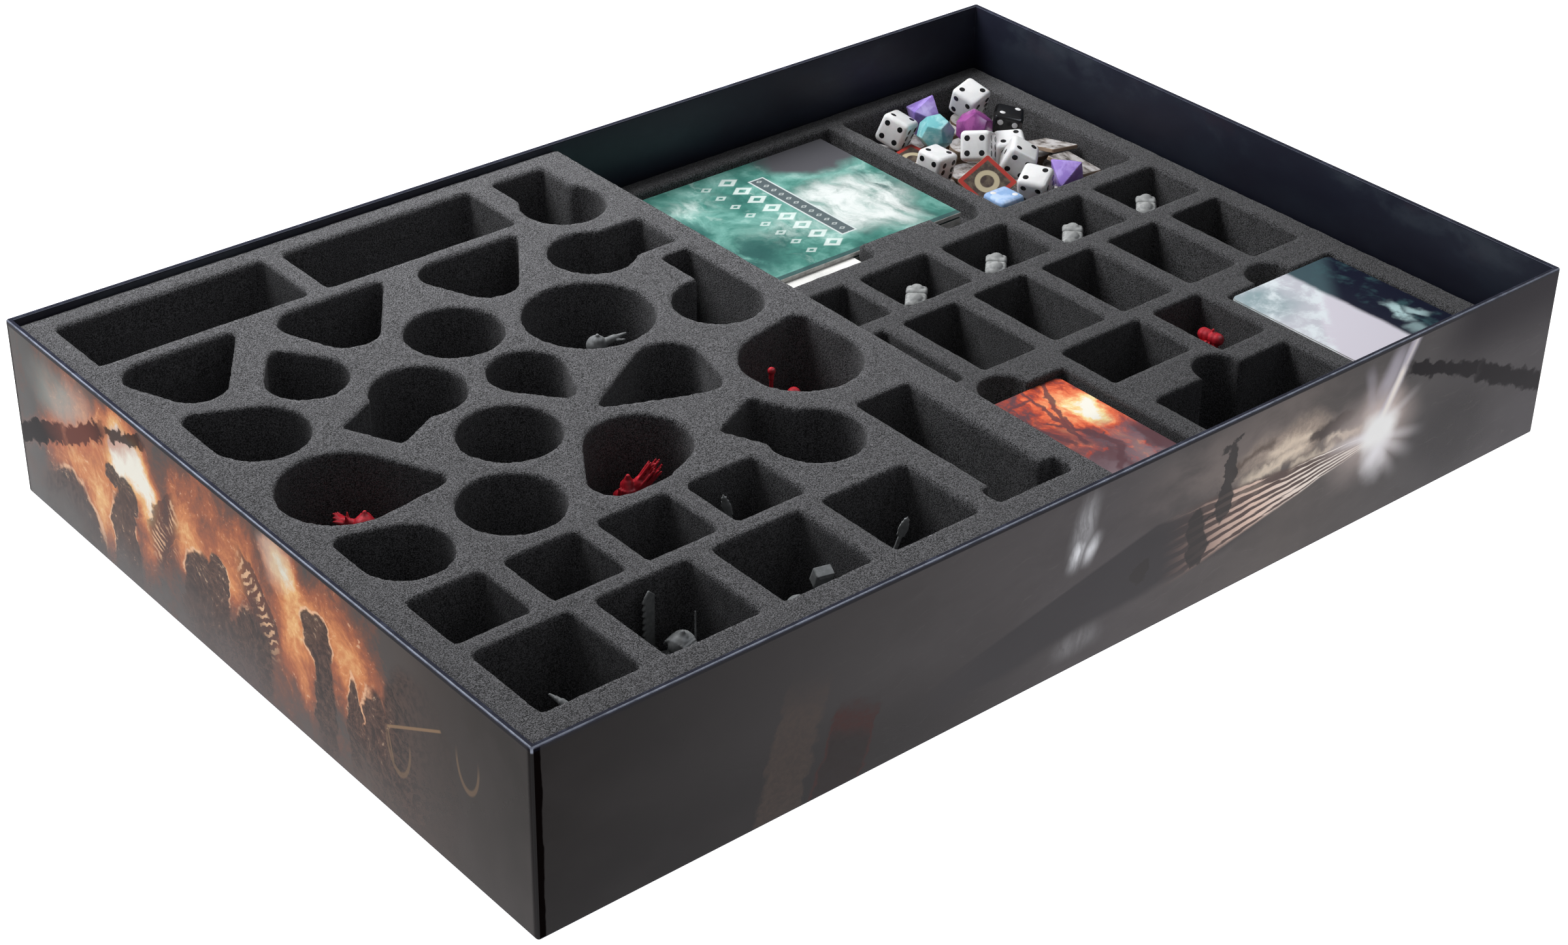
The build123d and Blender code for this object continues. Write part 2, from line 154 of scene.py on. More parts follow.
class Value:
    """A node's output. Sums and products of it make further nodes. A place is a vector, and takes tuples."""

    def __init__(self, paint, socket, work=None):
        self.paint = paint
        self.socket = socket
        self.work = work or paint.math

    def __add__(self, other):
        return self.work("ADD", self, other)

    def __sub__(self, other):
        return self.work("SUBTRACT", self, other)

    def __rsub__(self, other):
        return self.work("SUBTRACT", other, self)

    def __mul__(self, other):
        return self.work("MULTIPLY", self, other)

    def __truediv__(self, other):
        return self.work("DIVIDE", self, other)

    def __abs__(self):
        return self.work("ABSOLUTE", self)


class Paint:
    """One procedural material, built node by node. Patterns give their places and sizes in millimetres."""

    def __init__(self, name):
        self.material = bpy.data.materials.new(name)
        self.material.use_nodes = True
        self.tree = self.material.node_tree
        self.shader = self.tree.nodes["Principled BSDF"]
        self.color = None
        self.place = Value(self, self.texture("ShaderNodeTexCoord")["Object"], self.vector)
        self.x, self.y, self.z = self.split(self.place)

    def node(self, kind, *values, **settings):
        """A node with its first inputs filled in order, and its settings by name."""
        made = self.tree.nodes.new(kind)
        for key, value in settings.items():
            setattr(made, key, value)
        for socket, value in zip(made.inputs, values):
            self.fill(socket, value)
        return made

    def texture(self, kind, **inputs):
        """The outputs of a node with its inputs filled by name."""
        made = self.tree.nodes.new(kind)
        for name, value in inputs.items():
            self.fill(made.inputs[name], value)
        return made.outputs

    def fill(self, socket, value):
        if isinstance(value, Value):
            value = value.socket
        if isinstance(value, bpy.types.NodeSocket):
            self.tree.links.new(value, socket)
        elif value is not None:
            socket.default_value = value

    def math(self, operation, a, b=0.0, clamp=False):
        made = self.node("ShaderNodeMath", a, b, operation=operation, use_clamp=clamp)
        return Value(self, made.outputs[0])

    def vector(self, operation, a, b=(0, 0, 0)):
        made = self.node("ShaderNodeVectorMath", a, b, operation=operation)
        if operation in ("LENGTH", "DOT_PRODUCT"):
            return Value(self, made.outputs["Value"])
        return Value(self, made.outputs["Vector"], self.vector)

    def split(self, place):
        return [Value(self, socket) for socket in self.node("ShaderNodeSeparateXYZ", place).outputs]

    def combine(self, x, y, z=0.0):
        return Value(self, self.node("ShaderNodeCombineXYZ", x, y, z).outputs[0], self.vector)

    def noise(self, place, scale, detail=3.0, roughness=0.5):
        """A cloud between 0 and 1."""
        made = self.texture(
            "ShaderNodeTexNoise", Vector=place, Scale=scale, Detail=detail, Roughness=roughness,
        )
        return Value(self, made["Fac"])

    def cells(self, place, scale):
        """The distance to the nearest cell centre."""
        return Value(self, self.texture("ShaderNodeTexVoronoi", Vector=place, Scale=scale)["Distance"])

    def warp(self, place, scale, amount, detail=3.0):
        """A place pushed about by a cloud, by up to half the amount."""
        made = self.texture("ShaderNodeTexNoise", Vector=place, Scale=scale, Detail=detail)
        push = Value(self, made["Color"], self.vector) - (0.5, 0.5, 0.5)
        return place + push * (amount * MM, amount * MM, amount * MM)

    def step(self, value, low, high, low_to=0.0, high_to=1.0):
        """A smooth step from low_to at low to high_to at high."""
        made = self.node(
            "ShaderNodeMapRange", value, low, high, low_to, high_to, interpolation_type="SMOOTHSTEP",
        )
        return Value(self, made.outputs["Result"])

    def mix(self, share, a, b):
        """Colour a where share is 0, and b where it is 1."""
        made = self.node("ShaderNodeMix", data_type="RGBA", clamp_factor=True)
        self.fill(made.inputs["Factor"], share)
        self.fill(made.inputs["A"], (*a, 1) if isinstance(a, tuple) else a)
        self.fill(made.inputs["B"], (*b, 1) if isinstance(b, tuple) else b)
        return made.outputs["Result"]

    def over(self, share, color):
        """Lays a further colour over the paint's colour."""
        self.color = self.mix(share, self.color, color)

    def ramp(self, value, *stops):
        """A colour from stops of (position between 0 and 1, colour)."""
        made = self.node("ShaderNodeValToRGB", value)
        ends = made.color_ramp.elements
        ends[0].position, ends[0].color = stops[0][0], (*stops[0][1], 1)
        ends[1].position, ends[1].color = stops[-1][0], (*stops[-1][1], 1)
        for position, color in stops[1:-1]:
            ends.new(position).color = (*color, 1)
        return made.outputs["Color"]

    def blob(self, place, centre, size, sharp=0.0):
        """1 inside an oval, and 0 outside it. sharp, below 1, is the share of it that is full."""
        away = place - (centre[0] * MM, centre[1] * MM, 0)
        scaled = away * (1 / (size[0] * MM), 1 / (size[1] * MM), 0)
        return self.step(self.vector("LENGTH", scaled), sharp, 1.0, 1.0, 0.0)

    def streak(self, place, start, end, width, sharp=0.4):
        """1 along a straight band of this half width, fading at its sides and ends."""
        start, end, width = Vector((*start, 0)) * MM, Vector((*end, 0)) * MM, width * MM
        way = (end - start).normalized()
        away = place - tuple(start)
        along = self.vector("DOT_PRODUCT", away, tuple(way))
        across = self.vector("DOT_PRODUCT", away, (-way.y, way.x, 0))
        side = self.step(abs(across), width * sharp, width, 1.0, 0.0)
        length = (end - start).length
        return side * (self.step(along, -width, width) * self.step(along, length + width, length - width))

    def most(self, *values):
        """The largest of several values."""
        return functools.reduce(lambda a, b: self.math("MAXIMUM", a, b), values)

    def total(self, *values):
        """The sum of several values."""
        return functools.reduce(lambda a, b: a + b, values)

    def glows(self, place, *rows, sharp=0.1):
        """The sum of ovals. Each row is a strength, a centre and half sizes."""
        return self.total(*[self.blob(place, centre, size, sharp) * part for part, centre, size in rows])

    def shapes(self, place, *rows, sharp=0.8):
        """The union of ovals. Each row is a centre and half sizes."""
        return self.most(*[self.blob(place, centre, size, sharp) for centre, size in rows])

    def lines(self, place, *rows, sharp=0.4):
        """The union of streaks. Each row is a strength, a start, an end and a half width."""
        return self.most(*[self.streak(place, *row, sharp) * part for part, *row in rows])

    def bump(self, height, distance, strength=1.0):
        made = self.texture("ShaderNodeBump", Height=height, Distance=distance, Strength=strength)
        self.fill(self.shader.inputs["Normal"], made["Normal"])

    def finish(self, color, roughness=0.5, **sockets):
        """Wires the colour and roughness, and sets further sockets by their names with _ for a space."""
        self.fill(self.shader.inputs["Base Color"], (*color, 1) if isinstance(color, tuple) else color)
        self.fill(self.shader.inputs["Roughness"], roughness)
        for name, value in sockets.items():
            self.fill(self.shader.inputs[name.replace("_", " ")], value)
        return self.material


def foam_material(name, tone):
    """Charcoal open-cell foam: dark pores and bright struts under a millimetre across, drawn out on cut
    walls, as the foam's texture with painted shade in the pores and painted highlights on the struts. A tone
    below 1 darkens it all as painted shade.
    """
    paint = Paint(name)
    pores = paint.noise(paint.place, 1800, 2.0, 0.6)
    struts = paint.cells(paint.place, 2200)
    drawn = paint.noise(paint.place * (1, 1, 0.18), 420, 2.0, 0.6)
    patches = paint.noise(paint.place, 22, 2.0)
    skin = pores + struts * 0.35
    skin = skin + drawn * 0.1
    # The speckle is the foam's texture, with painted shade in the pores and painted highlights on the struts
    speckle = paint.step(skin, 0.56, 0.92)
    # A tone below 1 scales both colours down as painted shade
    paint.color = paint.mix(
        speckle, (0.011 * tone, 0.011 * tone, 0.0115 * tone), (0.185 * tone, 0.185 * tone, 0.196 * tone),
    )
    paint.over(paint.step(patches, 0.3, 0.7, 0.0, 0.1), (0.04, 0.04, 0.042))
    paint.bump(skin, 0.6 * MM, 0.9)
    return paint.finish(paint.color, 0.95, Specular_IOR_Level=0.12, Sheen_Weight=0.1, Sheen_Roughness=0.6)


def gloss_coat(paint, shine=0.5):
    """A glossy laminate over a printed colour."""
    ripple = paint.noise(paint.place, 55, 2.0)
    paint.bump(ripple, 0.25 * MM, 0.35)
    return paint.finish(paint.color, 0.17, Specular_IOR_Level=shine)


# Painted shade: a dark line on the walls just under the rim's fold, between these heights
FOLD_PAINTED_SHADE = (0.006, 0.006, 0.01)
FOLD_FOOT, FOLD_TOP = 0.0856, 0.0862
WHITE = (1.0, 1.0, 1.0)


def fire_wall_material(name, side):
    """The short walls' print: fire behind dark rocks, under smoke. side is -1 on the left, 1 on the right."""
    paint = Paint(name)
    along = paint.y * float(-side)
    flat = paint.combine(along, paint.z)
    loose = paint.warp(flat, 28, 26, 5.0)
    flow = paint.noise(loose * (1, 0.6, 1), 42, 7.0, 0.58)
    fine = paint.noise(loose, 300, 5.0, 0.7)

    # Heat: how near each place is to the fires, broken up by the flow
    heat = paint.glows(
        loose, (0.62, (96, 62), (34, 34)), (0.3, (90, 68), (24, 24)), (0.3, (78, 44), (12, 36)),
        (0.46, (135, 50), (60, 50)), (0.3, (110, 24), (36, 30)), (0.32, (45, 58), (70, 60)),
        (0.26, (0, 58), (50, 44)), (0.5, (-30, 78), (20, 20)), (0.16, (-45, 60), (34, 34)),
        (0.46, (-38, 48), (24, 50)), (0.44, (-78, 54), (40, 50)), (0.22, (40, 44), (34, 22)),
        (0.3, (-104, 48), (20, 40)),
    )
    heat = paint.total(
        heat, paint.step(flow, 0.3, 0.7, -0.14, 0.2), paint.step(fine, 0.3, 0.7, -0.06, 0.06),
    )
    heat = paint.math("SUBTRACT", heat, paint.step(along, -0.088, -0.118, 0.0, 0.55), clamp=True)
    paint.color = paint.ramp(
        heat, (0.0, (0.085, 0.072, 0.066)), (0.18, (0.18, 0.078, 0.052)), (0.36, (0.43, 0.125, 0.052)),
        (0.54, (0.74, 0.265, 0.09)), (0.72, (0.96, 0.56, 0.23)), (0.9, (1.0, 0.97, 0.86)),
    )

    cool = paint.most(
        paint.blob(loose, (-26, 78), (14, 18), 0.2), paint.blob(loose, (150, 70), (40, 22), 0.1),
    )
    paint.over(cool * 0.45, (0.62, 0.68, 0.62))

    # Embers along two broken curves
    jagged = paint.warp(flat, 90, 13, 9.0)
    place = paint.warp(flat, 110, 11, 6.0) - (0.028, 0.018, 0)
    right, up, _ = paint.split(place)
    radius = paint.vector("LENGTH", place * (1, 1, 0))
    turn = paint.math("ARCTAN2", up, right)
    shown = paint.shapes(flat, ((68, 52), (18, 36)), ((-12, 56), (22, 36)), sharp=0.5)
    for middle, half, dark, bright in ((0.048, 0.008, 0.8, 0.75), (0.0335, 0.005, 0.6, 0.5)):
        off_ring = abs(radius - middle)
        band = paint.step(off_ring, half * 1.15, half) * shown
        paint.over(band * dark, (0.075, 0.034, 0.026))
        slots = paint.step(paint.math("SINE", turn * 84.0), 0.0, 0.6)
        slots = slots * paint.step(off_ring, half * 0.75, half * 0.5) * paint.step(flow, 0.44, 0.56) * band
        paint.over(slots * bright, (1.0, 0.62, 0.36))

    # Rocks and ruins stand dark in front, with burning edges
    rocks = paint.shapes(
        jagged, ((150, 4), (30, 32)), ((103, 16), (13, 34)), ((96, 46), (10, 11)), ((107, 51), (7, 5)),
        ((34, 30), (20, 22)), ((26, 12), (34, 20)), ((22, 46), (9, 12)), ((-2, 20), (16, 22)),
        ((-56, 24), (9, 40)), ((-53, 56), (12, 13)), ((-78, 24), (7, 30)), ((-93, 22), (11, 38)),
        ((-122, 26), (30, 56)),
    )
    rock_tone = paint.mix(paint.step(fine, 0.35, 0.62), (0.022, 0.015, 0.013), (0.1, 0.058, 0.044))
    paint.over(rocks * 0.95, rock_tone)
    edge = paint.step(rocks, 0.0, 0.3) * paint.step(rocks, 0.9, 0.5)
    edge = edge * (paint.step(heat, 0.2, 0.5) * paint.step(flow, 0.4, 0.55))
    paint.over(edge * 0.85, (1.0, 0.6, 0.36))
    sparks = paint.step(fine, 0.61, 0.66) * paint.step(heat, 0.15, 0.4)
    paint.over(sparks * 0.4, (1.0, 0.72, 0.46))

    # Smoke below and at both ends
    fog = paint.step(paint.z + flow * 0.03, 0.01, 0.046, 0.82, 0.0)
    haze = paint.ramp(
        paint.step(along, -0.2, 0.2), (0.0, (0.026, 0.023, 0.02)), (0.2, (0.115, 0.088, 0.076)),
        (0.5, (0.13, 0.1, 0.096)), (1.0, (0.128, 0.132, 0.128)),
    )
    haze = paint.mix(paint.step(flow, 0.4, 0.64, 0.0, 0.3), haze, (0.06, 0.05, 0.048))
    ends = paint.most(paint.step(along, 0.15, 0.205), paint.step(along, -0.098, -0.135))
    paint.over(paint.most(fog, ends * 0.88), haze)

    # A burnt branch across one corner, and thin gilt lines
    torn = paint.warp(paint.warp(flat, 45, 10), 210, 10, 7.0)
    glowing = paint.lines(torn, (0.8, (196, 32), (86, 78), 10), sharp=0.2)
    glowing = glowing * paint.step(along, 0.185, 0.15, 0.25, 0.8)
    paint.over(glowing, (0.52, 0.125, 0.05))
    branch = paint.lines(
        torn, (1.0, (205, 28), (150, 52), 5.6), (1.0, (152, 51), (112, 70), 4.6),
        (0.9, (112, 70), (78, 80), 3.4), sharp=0.75,
    )
    char = paint.mix(
        paint.blob(loose, (138, 56), (40, 30), 0.2), (0.008, 0.006, 0.006), (0.15, 0.038, 0.022),
    )
    paint.over(branch, char)
    # Painted shade: a near-black band down the corner at each end, which is also less glossy
    corner = paint.step(abs(along), 0.1925, 0.1945)
    paint.over(corner, (0.01, 0.008, 0.008))
    gilt = paint.lines(flat, (1.0, (-101, 42), (-138, 61), 0.9), (0.5, (-101, 42), (-104, 26), 0.8))
    for centre, size in (((-0.108, 0.04), 0.012), ((-0.155, 0.058), 0.0105)):
        round_it = (flat - (*centre, 0)) * (1.5, 0.72, 0)
        arc_off = abs(paint.vector("LENGTH", round_it) - size)
        low_half = paint.step(paint.split(round_it)[1], 0.003, -0.004)
        gilt = paint.most(gilt, paint.step(arc_off, 0.0014, 0.0005, 0.0, 0.45) * low_half)
    paint.over(gilt * 0.75, (0.34, 0.21, 0.11))
    # Painted shade: the dark line under the rim's fold
    paint.over(paint.step(paint.z, FOLD_FOOT, FOLD_TOP), FOLD_PAINTED_SHADE)
    matt = paint.most(corner, branch * 0.8)
    return gloss_coat(paint, paint.step(matt, 0.0, 1.0, 0.5, 0.12))


def beam_wall_material(name, side):
    """The long walls' print: a burst of light over a striped slope. side is -1 in front, 1 at the back."""
    paint = Paint(name)
    along = paint.x * float(-side)
    flat = paint.combine(along, paint.z)
    loose = paint.warp(flat, 26, 22, 5.0)
    smoke = paint.noise(loose * (0.5, 1, 1), 34, 6.0, 0.58)
    grain = paint.noise(loose * (0.8, 1, 1), 420, 5.0, 0.75)
    slanted = loose + paint.combine(0.0, along) * (0, -0.16, 0)
    scratches = paint.noise(slanted * (0.08, 1.6, 1), 320, 4.0, 0.7)

    # The base tone rises from near black at the left end to grey-brown past the middle: partly print, partly
    # a painted reflection that grows towards the right
    paint.color = paint.ramp(
        (along + 0.3) / 0.6, (0.02, (0.006, 0.004, 0.003)), (0.12, (0.018, 0.016, 0.016)),
        (0.3, (0.056, 0.051, 0.052)), (0.5, (0.092, 0.083, 0.087)), (0.68, (0.112, 0.097, 0.092)),
        (0.82, (0.082, 0.075, 0.076)), (1.0, (0.07, 0.064, 0.071)),
    )
    low_left = paint.step(paint.z, 0.05, 0.008) * paint.step(along, 0.02, -0.12)
    paint.over(low_left * 0.55, (0.003, 0.002, 0.002))
    low_right = paint.shapes(loose, ((226, 28), (40, 36)), sharp=0.3)
    paint.over(low_right * 0.6, (0.022, 0.02, 0.022))
    paint.over(paint.step(smoke, 0.58, 0.36, 0.0, 0.42), paint.mix(0.5, paint.color, (0.03, 0.026, 0.026)))
    scratches = paint.step(scratches, 0.56, 0.74, 0.0, 0.22) * paint.step(along, -0.2, 0.02)
    paint.over(scratches, (0.17, 0.155, 0.15))
    dim = paint.step(paint.z, 0.045, 0.08) * paint.step(along, 0.195, 0.235)
    paint.over(dim * 0.95, (0.008, 0.005, 0.01))

    # Painted shade: a near-black band down the corner at the left end, which is also less glossy
    corner = along + (smoke - 0.5) * 0.004
    black = paint.step(corner, -0.2858, -0.2864)
    paint.over(black, (0.003, 0.002, 0.002))

    # Two rough slabs lean at the left
    torn = paint.warp(flat, 130, 11, 7.0)
    rough = paint.step(grain, 0.35, 0.65, 0.55, 1.0)
    brown = paint.lines(torn, (1.0, (-180, -10), (-163, 53), 12.5), sharp=0.8)
    paint.over(brown * rough * 0.5, (0.085, 0.056, 0.042))
    rust = paint.lines(torn, (1.0, (-152, -12), (-138, 30), 13.5), sharp=0.8)
    paint.over(rust * rough * 0.85, (0.016, 0.009, 0.008))
    rust_edge = paint.step(rust, 0.02, 0.4) * paint.step(rust, 0.98, 0.6)
    paint.over(rust_edge * rough * 0.8, (0.056, 0.013, 0.01))

    # A dark ridge, and the glow behind it
    wavy = (smoke - 0.5) * 0.012
    ridge_top = paint.z - (along + 0.113) * 0.215
    fall_top = paint.z + (along - 0.026) * 0.16
    foot_line = paint.z - (along * 0.062 + 0.019) + wavy
    ridge = paint.step(ridge_top, 0.0235, 0.0215) * paint.step(foot_line, -0.003, 0.003)
    ridge = ridge * (paint.step(fall_top, 0.0545, 0.052) * paint.step(along, -0.115, -0.06))
    paint.over(ridge * paint.step(along, 0.11, 0.07) * 0.8, (0.036, 0.034, 0.038))
    sky = paint.blob(loose, (82, 68), (85, 28), 0.2) * paint.step(smoke, 0.3, 0.6)
    paint.over(sky * 0.6, (0.25, 0.205, 0.19))
    glow = paint.glows(
        loose, (0.9, (116, 60), (26, 15)), (0.5, (92, 62), (30, 13)), (0.4, (146, 48), (26, 8)),
    )
    paint.over(glow * paint.step(grain, 0.25, 0.75, 0.45, 1.0), (0.66, 0.52, 0.42))
    ragged = paint.warp(paint.warp(flat, 60, 12, 6.0), 240, 6, 6.0)
    strokes = paint.lines(
        ragged, (0.9, (80, 52), (118, 56), 5), (0.8, (94, 60), (124, 61), 4),
        (0.6, (64, 45), (92, 47), 3.4), (0.6, (112, 49), (140, 50), 3), (0.7, (134, 54), (156, 52), 3),
        sharp=0.0,
    )
    paint.over(strokes * paint.step(smoke, 0.3, 0.55, 0.4, 1.0), (0.86, 0.72, 0.58))
    gaps = paint.lines(
        ragged, (0.8, (70, 61), (98, 67), 4), (0.7, (92, 45), (126, 44), 2.6),
        (0.6, (124, 56), (136, 58), 3), sharp=0.0,
    )
    paint.over(gaps, (0.105, 0.076, 0.062))
    band = paint.shapes(torn, ((139, 61), (19, 4.5)), ((128, 59), (10, 4)), sharp=0.4)
    paint.over(band * 0.9, (0.06, 0.044, 0.04))

    # Stripes of light on the ground run out from the burst
    right, up, _ = paint.split(paint.warp(flat, 40, 3) - (0.186, 0.045, 0))
    tilt = up / abs(right)
    ground = paint.step(tilt, -0.19, -0.165) * paint.step(tilt, 0.075, 0.05)
    ground = ground * (paint.step(along, 0.172, 0.164) * paint.step(along, 0.03, 0.075))
    paint.over(ground * 0.75, (0.12, 0.076, 0.066))
    breaks = paint.noise(flat * (0.55, 5.0, 1), 60, 4.0, 0.6)
    bars = paint.math("SINE", tilt * 165.0) + paint.step(breaks, 0.3, 0.7, -0.9, 0.9)
    bars = bars + paint.step(tilt, 0.02, -0.14, -0.15, 0.75)
    warm = paint.ramp(
        paint.step(along, 0.03, 0.15), (0.0, (0.28, 0.18, 0.15)), (0.5, (0.85, 0.62, 0.52)),
        (1.0, (1.0, 0.92, 0.85)),
    )
    paint.over(ground * paint.step(bars, 0.05, 0.85), warm)

    # The burst, its beam and its rays
    spill = paint.glows(loose, (0.8, (164, 46), (40, 30)), (0.5, (170, 58), (18, 30)), sharp=0.0)
    paint.over(spill, (0.66, 0.55, 0.52))
    rays = paint.lines(
        flat, (0.8, (168, 42), (208, 17), 5.8), (0.7, (168, 42), (210, 33), 4.8),
        (0.8, (168, 40), (188, 12), 5.8), (1.0, (168, 45), (128, 48), 4.2), (0.5, (168, 46), (196, 60), 4),
        sharp=0.0,
    )
    rays = rays * paint.blob(flat, (168, 44), (40, 34))
    paint.over(rays, (0.92, 0.88, 0.92))
    paint.over(paint.blob(loose, (169, 32), (11.5, 20)), (0.9, 0.88, 0.92))
    beam = paint.lines(
        paint.warp(flat, 60, 3), (0.8, (169, 50), (192, 94), 5), (0.55, (168, 64), (180, 84), 8.5),
        (0.25, (164, 58), (158, 80), 5), sharp=0.1,
    )
    paint.over(beam, (0.62, 0.58, 0.68))
    core = paint.lines(flat, (0.9, (168, 46), (182, 74), 3.4), (0.35, (176, 62), (192, 92), 1.8), sharp=0.0)
    paint.over(core, (1.0, 0.93, 0.86))
    paint.over(paint.shapes(loose, ((168, 45.5), (15.5, 15)), sharp=0.35), WHITE)

    # Upright stones, a rough black line, and a pale patch with its reflection
    rubble = paint.warp(flat, 190, 10, 7.0)
    stones = paint.shapes(
        rubble, ((70.5, 62), (4.6, 16)), ((68.5, 48), (6, 10)), ((52, 42), (6, 11)), ((54.5, 30), (7.5, 9)),
        ((19, 32), (6, 6)),
    )
    stones = paint.most(
        stones, paint.lines(rubble, (1.0, (56, 44), (72, 43), 1.4), (1.0, (64, 74), (76, 78), 1.2)),
    )
    paint.over(stones * 0.92, (0.038, 0.034, 0.034))
    line = paint.lines(rubble, (1.0, (186, 72), (240, 52), 4.4), (1.0, (236, 53), (298, 24), 6), sharp=0.6)
    paint.over(line, (0.008, 0.006, 0.008))
    upright = paint.noise(loose * (1, 0.1, 1), 300, 3.0, 0.6)
    patch = paint.lines(
        paint.warp(flat, 50, 5), (0.95, (-21, 53), (-18, 64), 5.6), (0.85, (-14, 53), (-10, 62), 5.6),
        (0.4, (-19, 60), (-14, 80), 9), (0.16, (-26, 12), (-6, 13), 8), sharp=0.0,
    )
    paint.over(patch * paint.step(upright, 0.3, 0.6, 0.5, 1.0), (0.86, 0.87, 0.92))
    # Painted shade: the dark line under the rim's fold
    paint.over(paint.step(paint.z, FOLD_FOOT, FOLD_TOP), FOLD_PAINTED_SHADE)
    matt = paint.most(black, line * 0.5)
    return gloss_coat(paint, 0.5 - matt * 0.5)


def inside_wall_material():
    """The turned-in print inside the walls: night blue with faint clouds near the rim."""
    paint = Paint("wrap_inside")
    place = paint.warp(paint.place, 22, 26, 5.0) * (0.6, 0.6, 1.2)
    clouds = paint.noise(place, 30, 6.0, 0.62)
    high = paint.step(paint.z, 0.066, 0.082)
    paint.color = paint.mix(paint.step(clouds, 0.35, 0.65), (0.0155, 0.0165, 0.031), (0.02, 0.025, 0.042))
    veil = high * paint.step(clouds, 0.48, 0.66)
    paint.over(veil * 0.7, (0.05, 0.06, 0.078))
    tint = paint.noise(place + (3, 1, 2), 40, 3.0)
    paint.over(high * paint.step(tint, 0.55, 0.7, 0.0, 0.4), (0.032, 0.02, 0.034))
    return paint.finish(paint.color, 0.48, Specular_IOR_Level=0.4)


def rim_material():
    """The dark fold of the wrap over the rim and round the corners, with a painted highlight along the outer
    fold and painted shade down the corners.
    """
    paint = Paint("wrap_rim")
    marks = paint.noise(paint.place, 140, 3.0, 0.6)
    paint.color = paint.mix(paint.step(marks, 0.5, 0.75), (0.016, 0.018, 0.034), (0.04, 0.046, 0.076))
    out_x = BOX_LENGTH / 2 - abs(paint.x)
    out_y = BOX_WIDTH / 2 - abs(paint.y)
    inwards = paint.math("MINIMUM", out_x, out_y)
    # A painted highlight: a pale blue line along the outer fold, broken by the marks
    fold = paint.step(inwards, 0.9 * MM, 0.5 * MM) * paint.step(inwards, 0.06 * MM, 0.2 * MM)
    paint.over(fold * paint.step(marks, 0.3, 0.6, 0.45, 1.0), (0.3, 0.33, 0.42))
    # Near black below the rim's top: painted shade down the corners; the same colour also covers the strip
    # under the base
    paint.over(paint.step(paint.z, 0.0858, 0.085), (0.004, 0.003, 0.003))
    return gloss_coat(paint)


def paper_material(name, color, tooth=0.06):
    """Plain paper or board with a fine tooth and slight patches."""
    paint = Paint(name)
    fibres = paint.noise(paint.place * (1, 0.45, 1), 1500, 3.0, 0.6)
    patches = paint.noise(paint.place, 40, 3.0)
    dark = tuple(0.8 * c for c in color)
    mixed = paint.mix(paint.step(patches, 0.35, 0.65), dark, color)
    mixed = paint.mix(paint.step(fibres, 0.45, 0.7) * 0.25, mixed, tuple(1.2 * c for c in color))
    paint.bump(fibres, tooth * MM, 0.6)
    return paint.finish(mixed, 0.8, Specular_IOR_Level=0.3)


def layered_edge_material(name, color, pitch):
    """Cut edges of a pile: fine lines at the pitch of its sheets."""
    paint = Paint(name)
    line = paint.math("FRACT", paint.z / pitch)
    worn = paint.noise(paint.place, 300, 3.0, 0.6)
    line = paint.step(abs(line - 0.5) + worn, 0.72, 0.98)
    mixed = paint.mix(line, color, tuple(0.45 * c for c in color))
    paint.bump(line, 0.08 * MM, 0.5)
    return paint.finish(mixed, 0.7, Specular_IOR_Level=0.3)


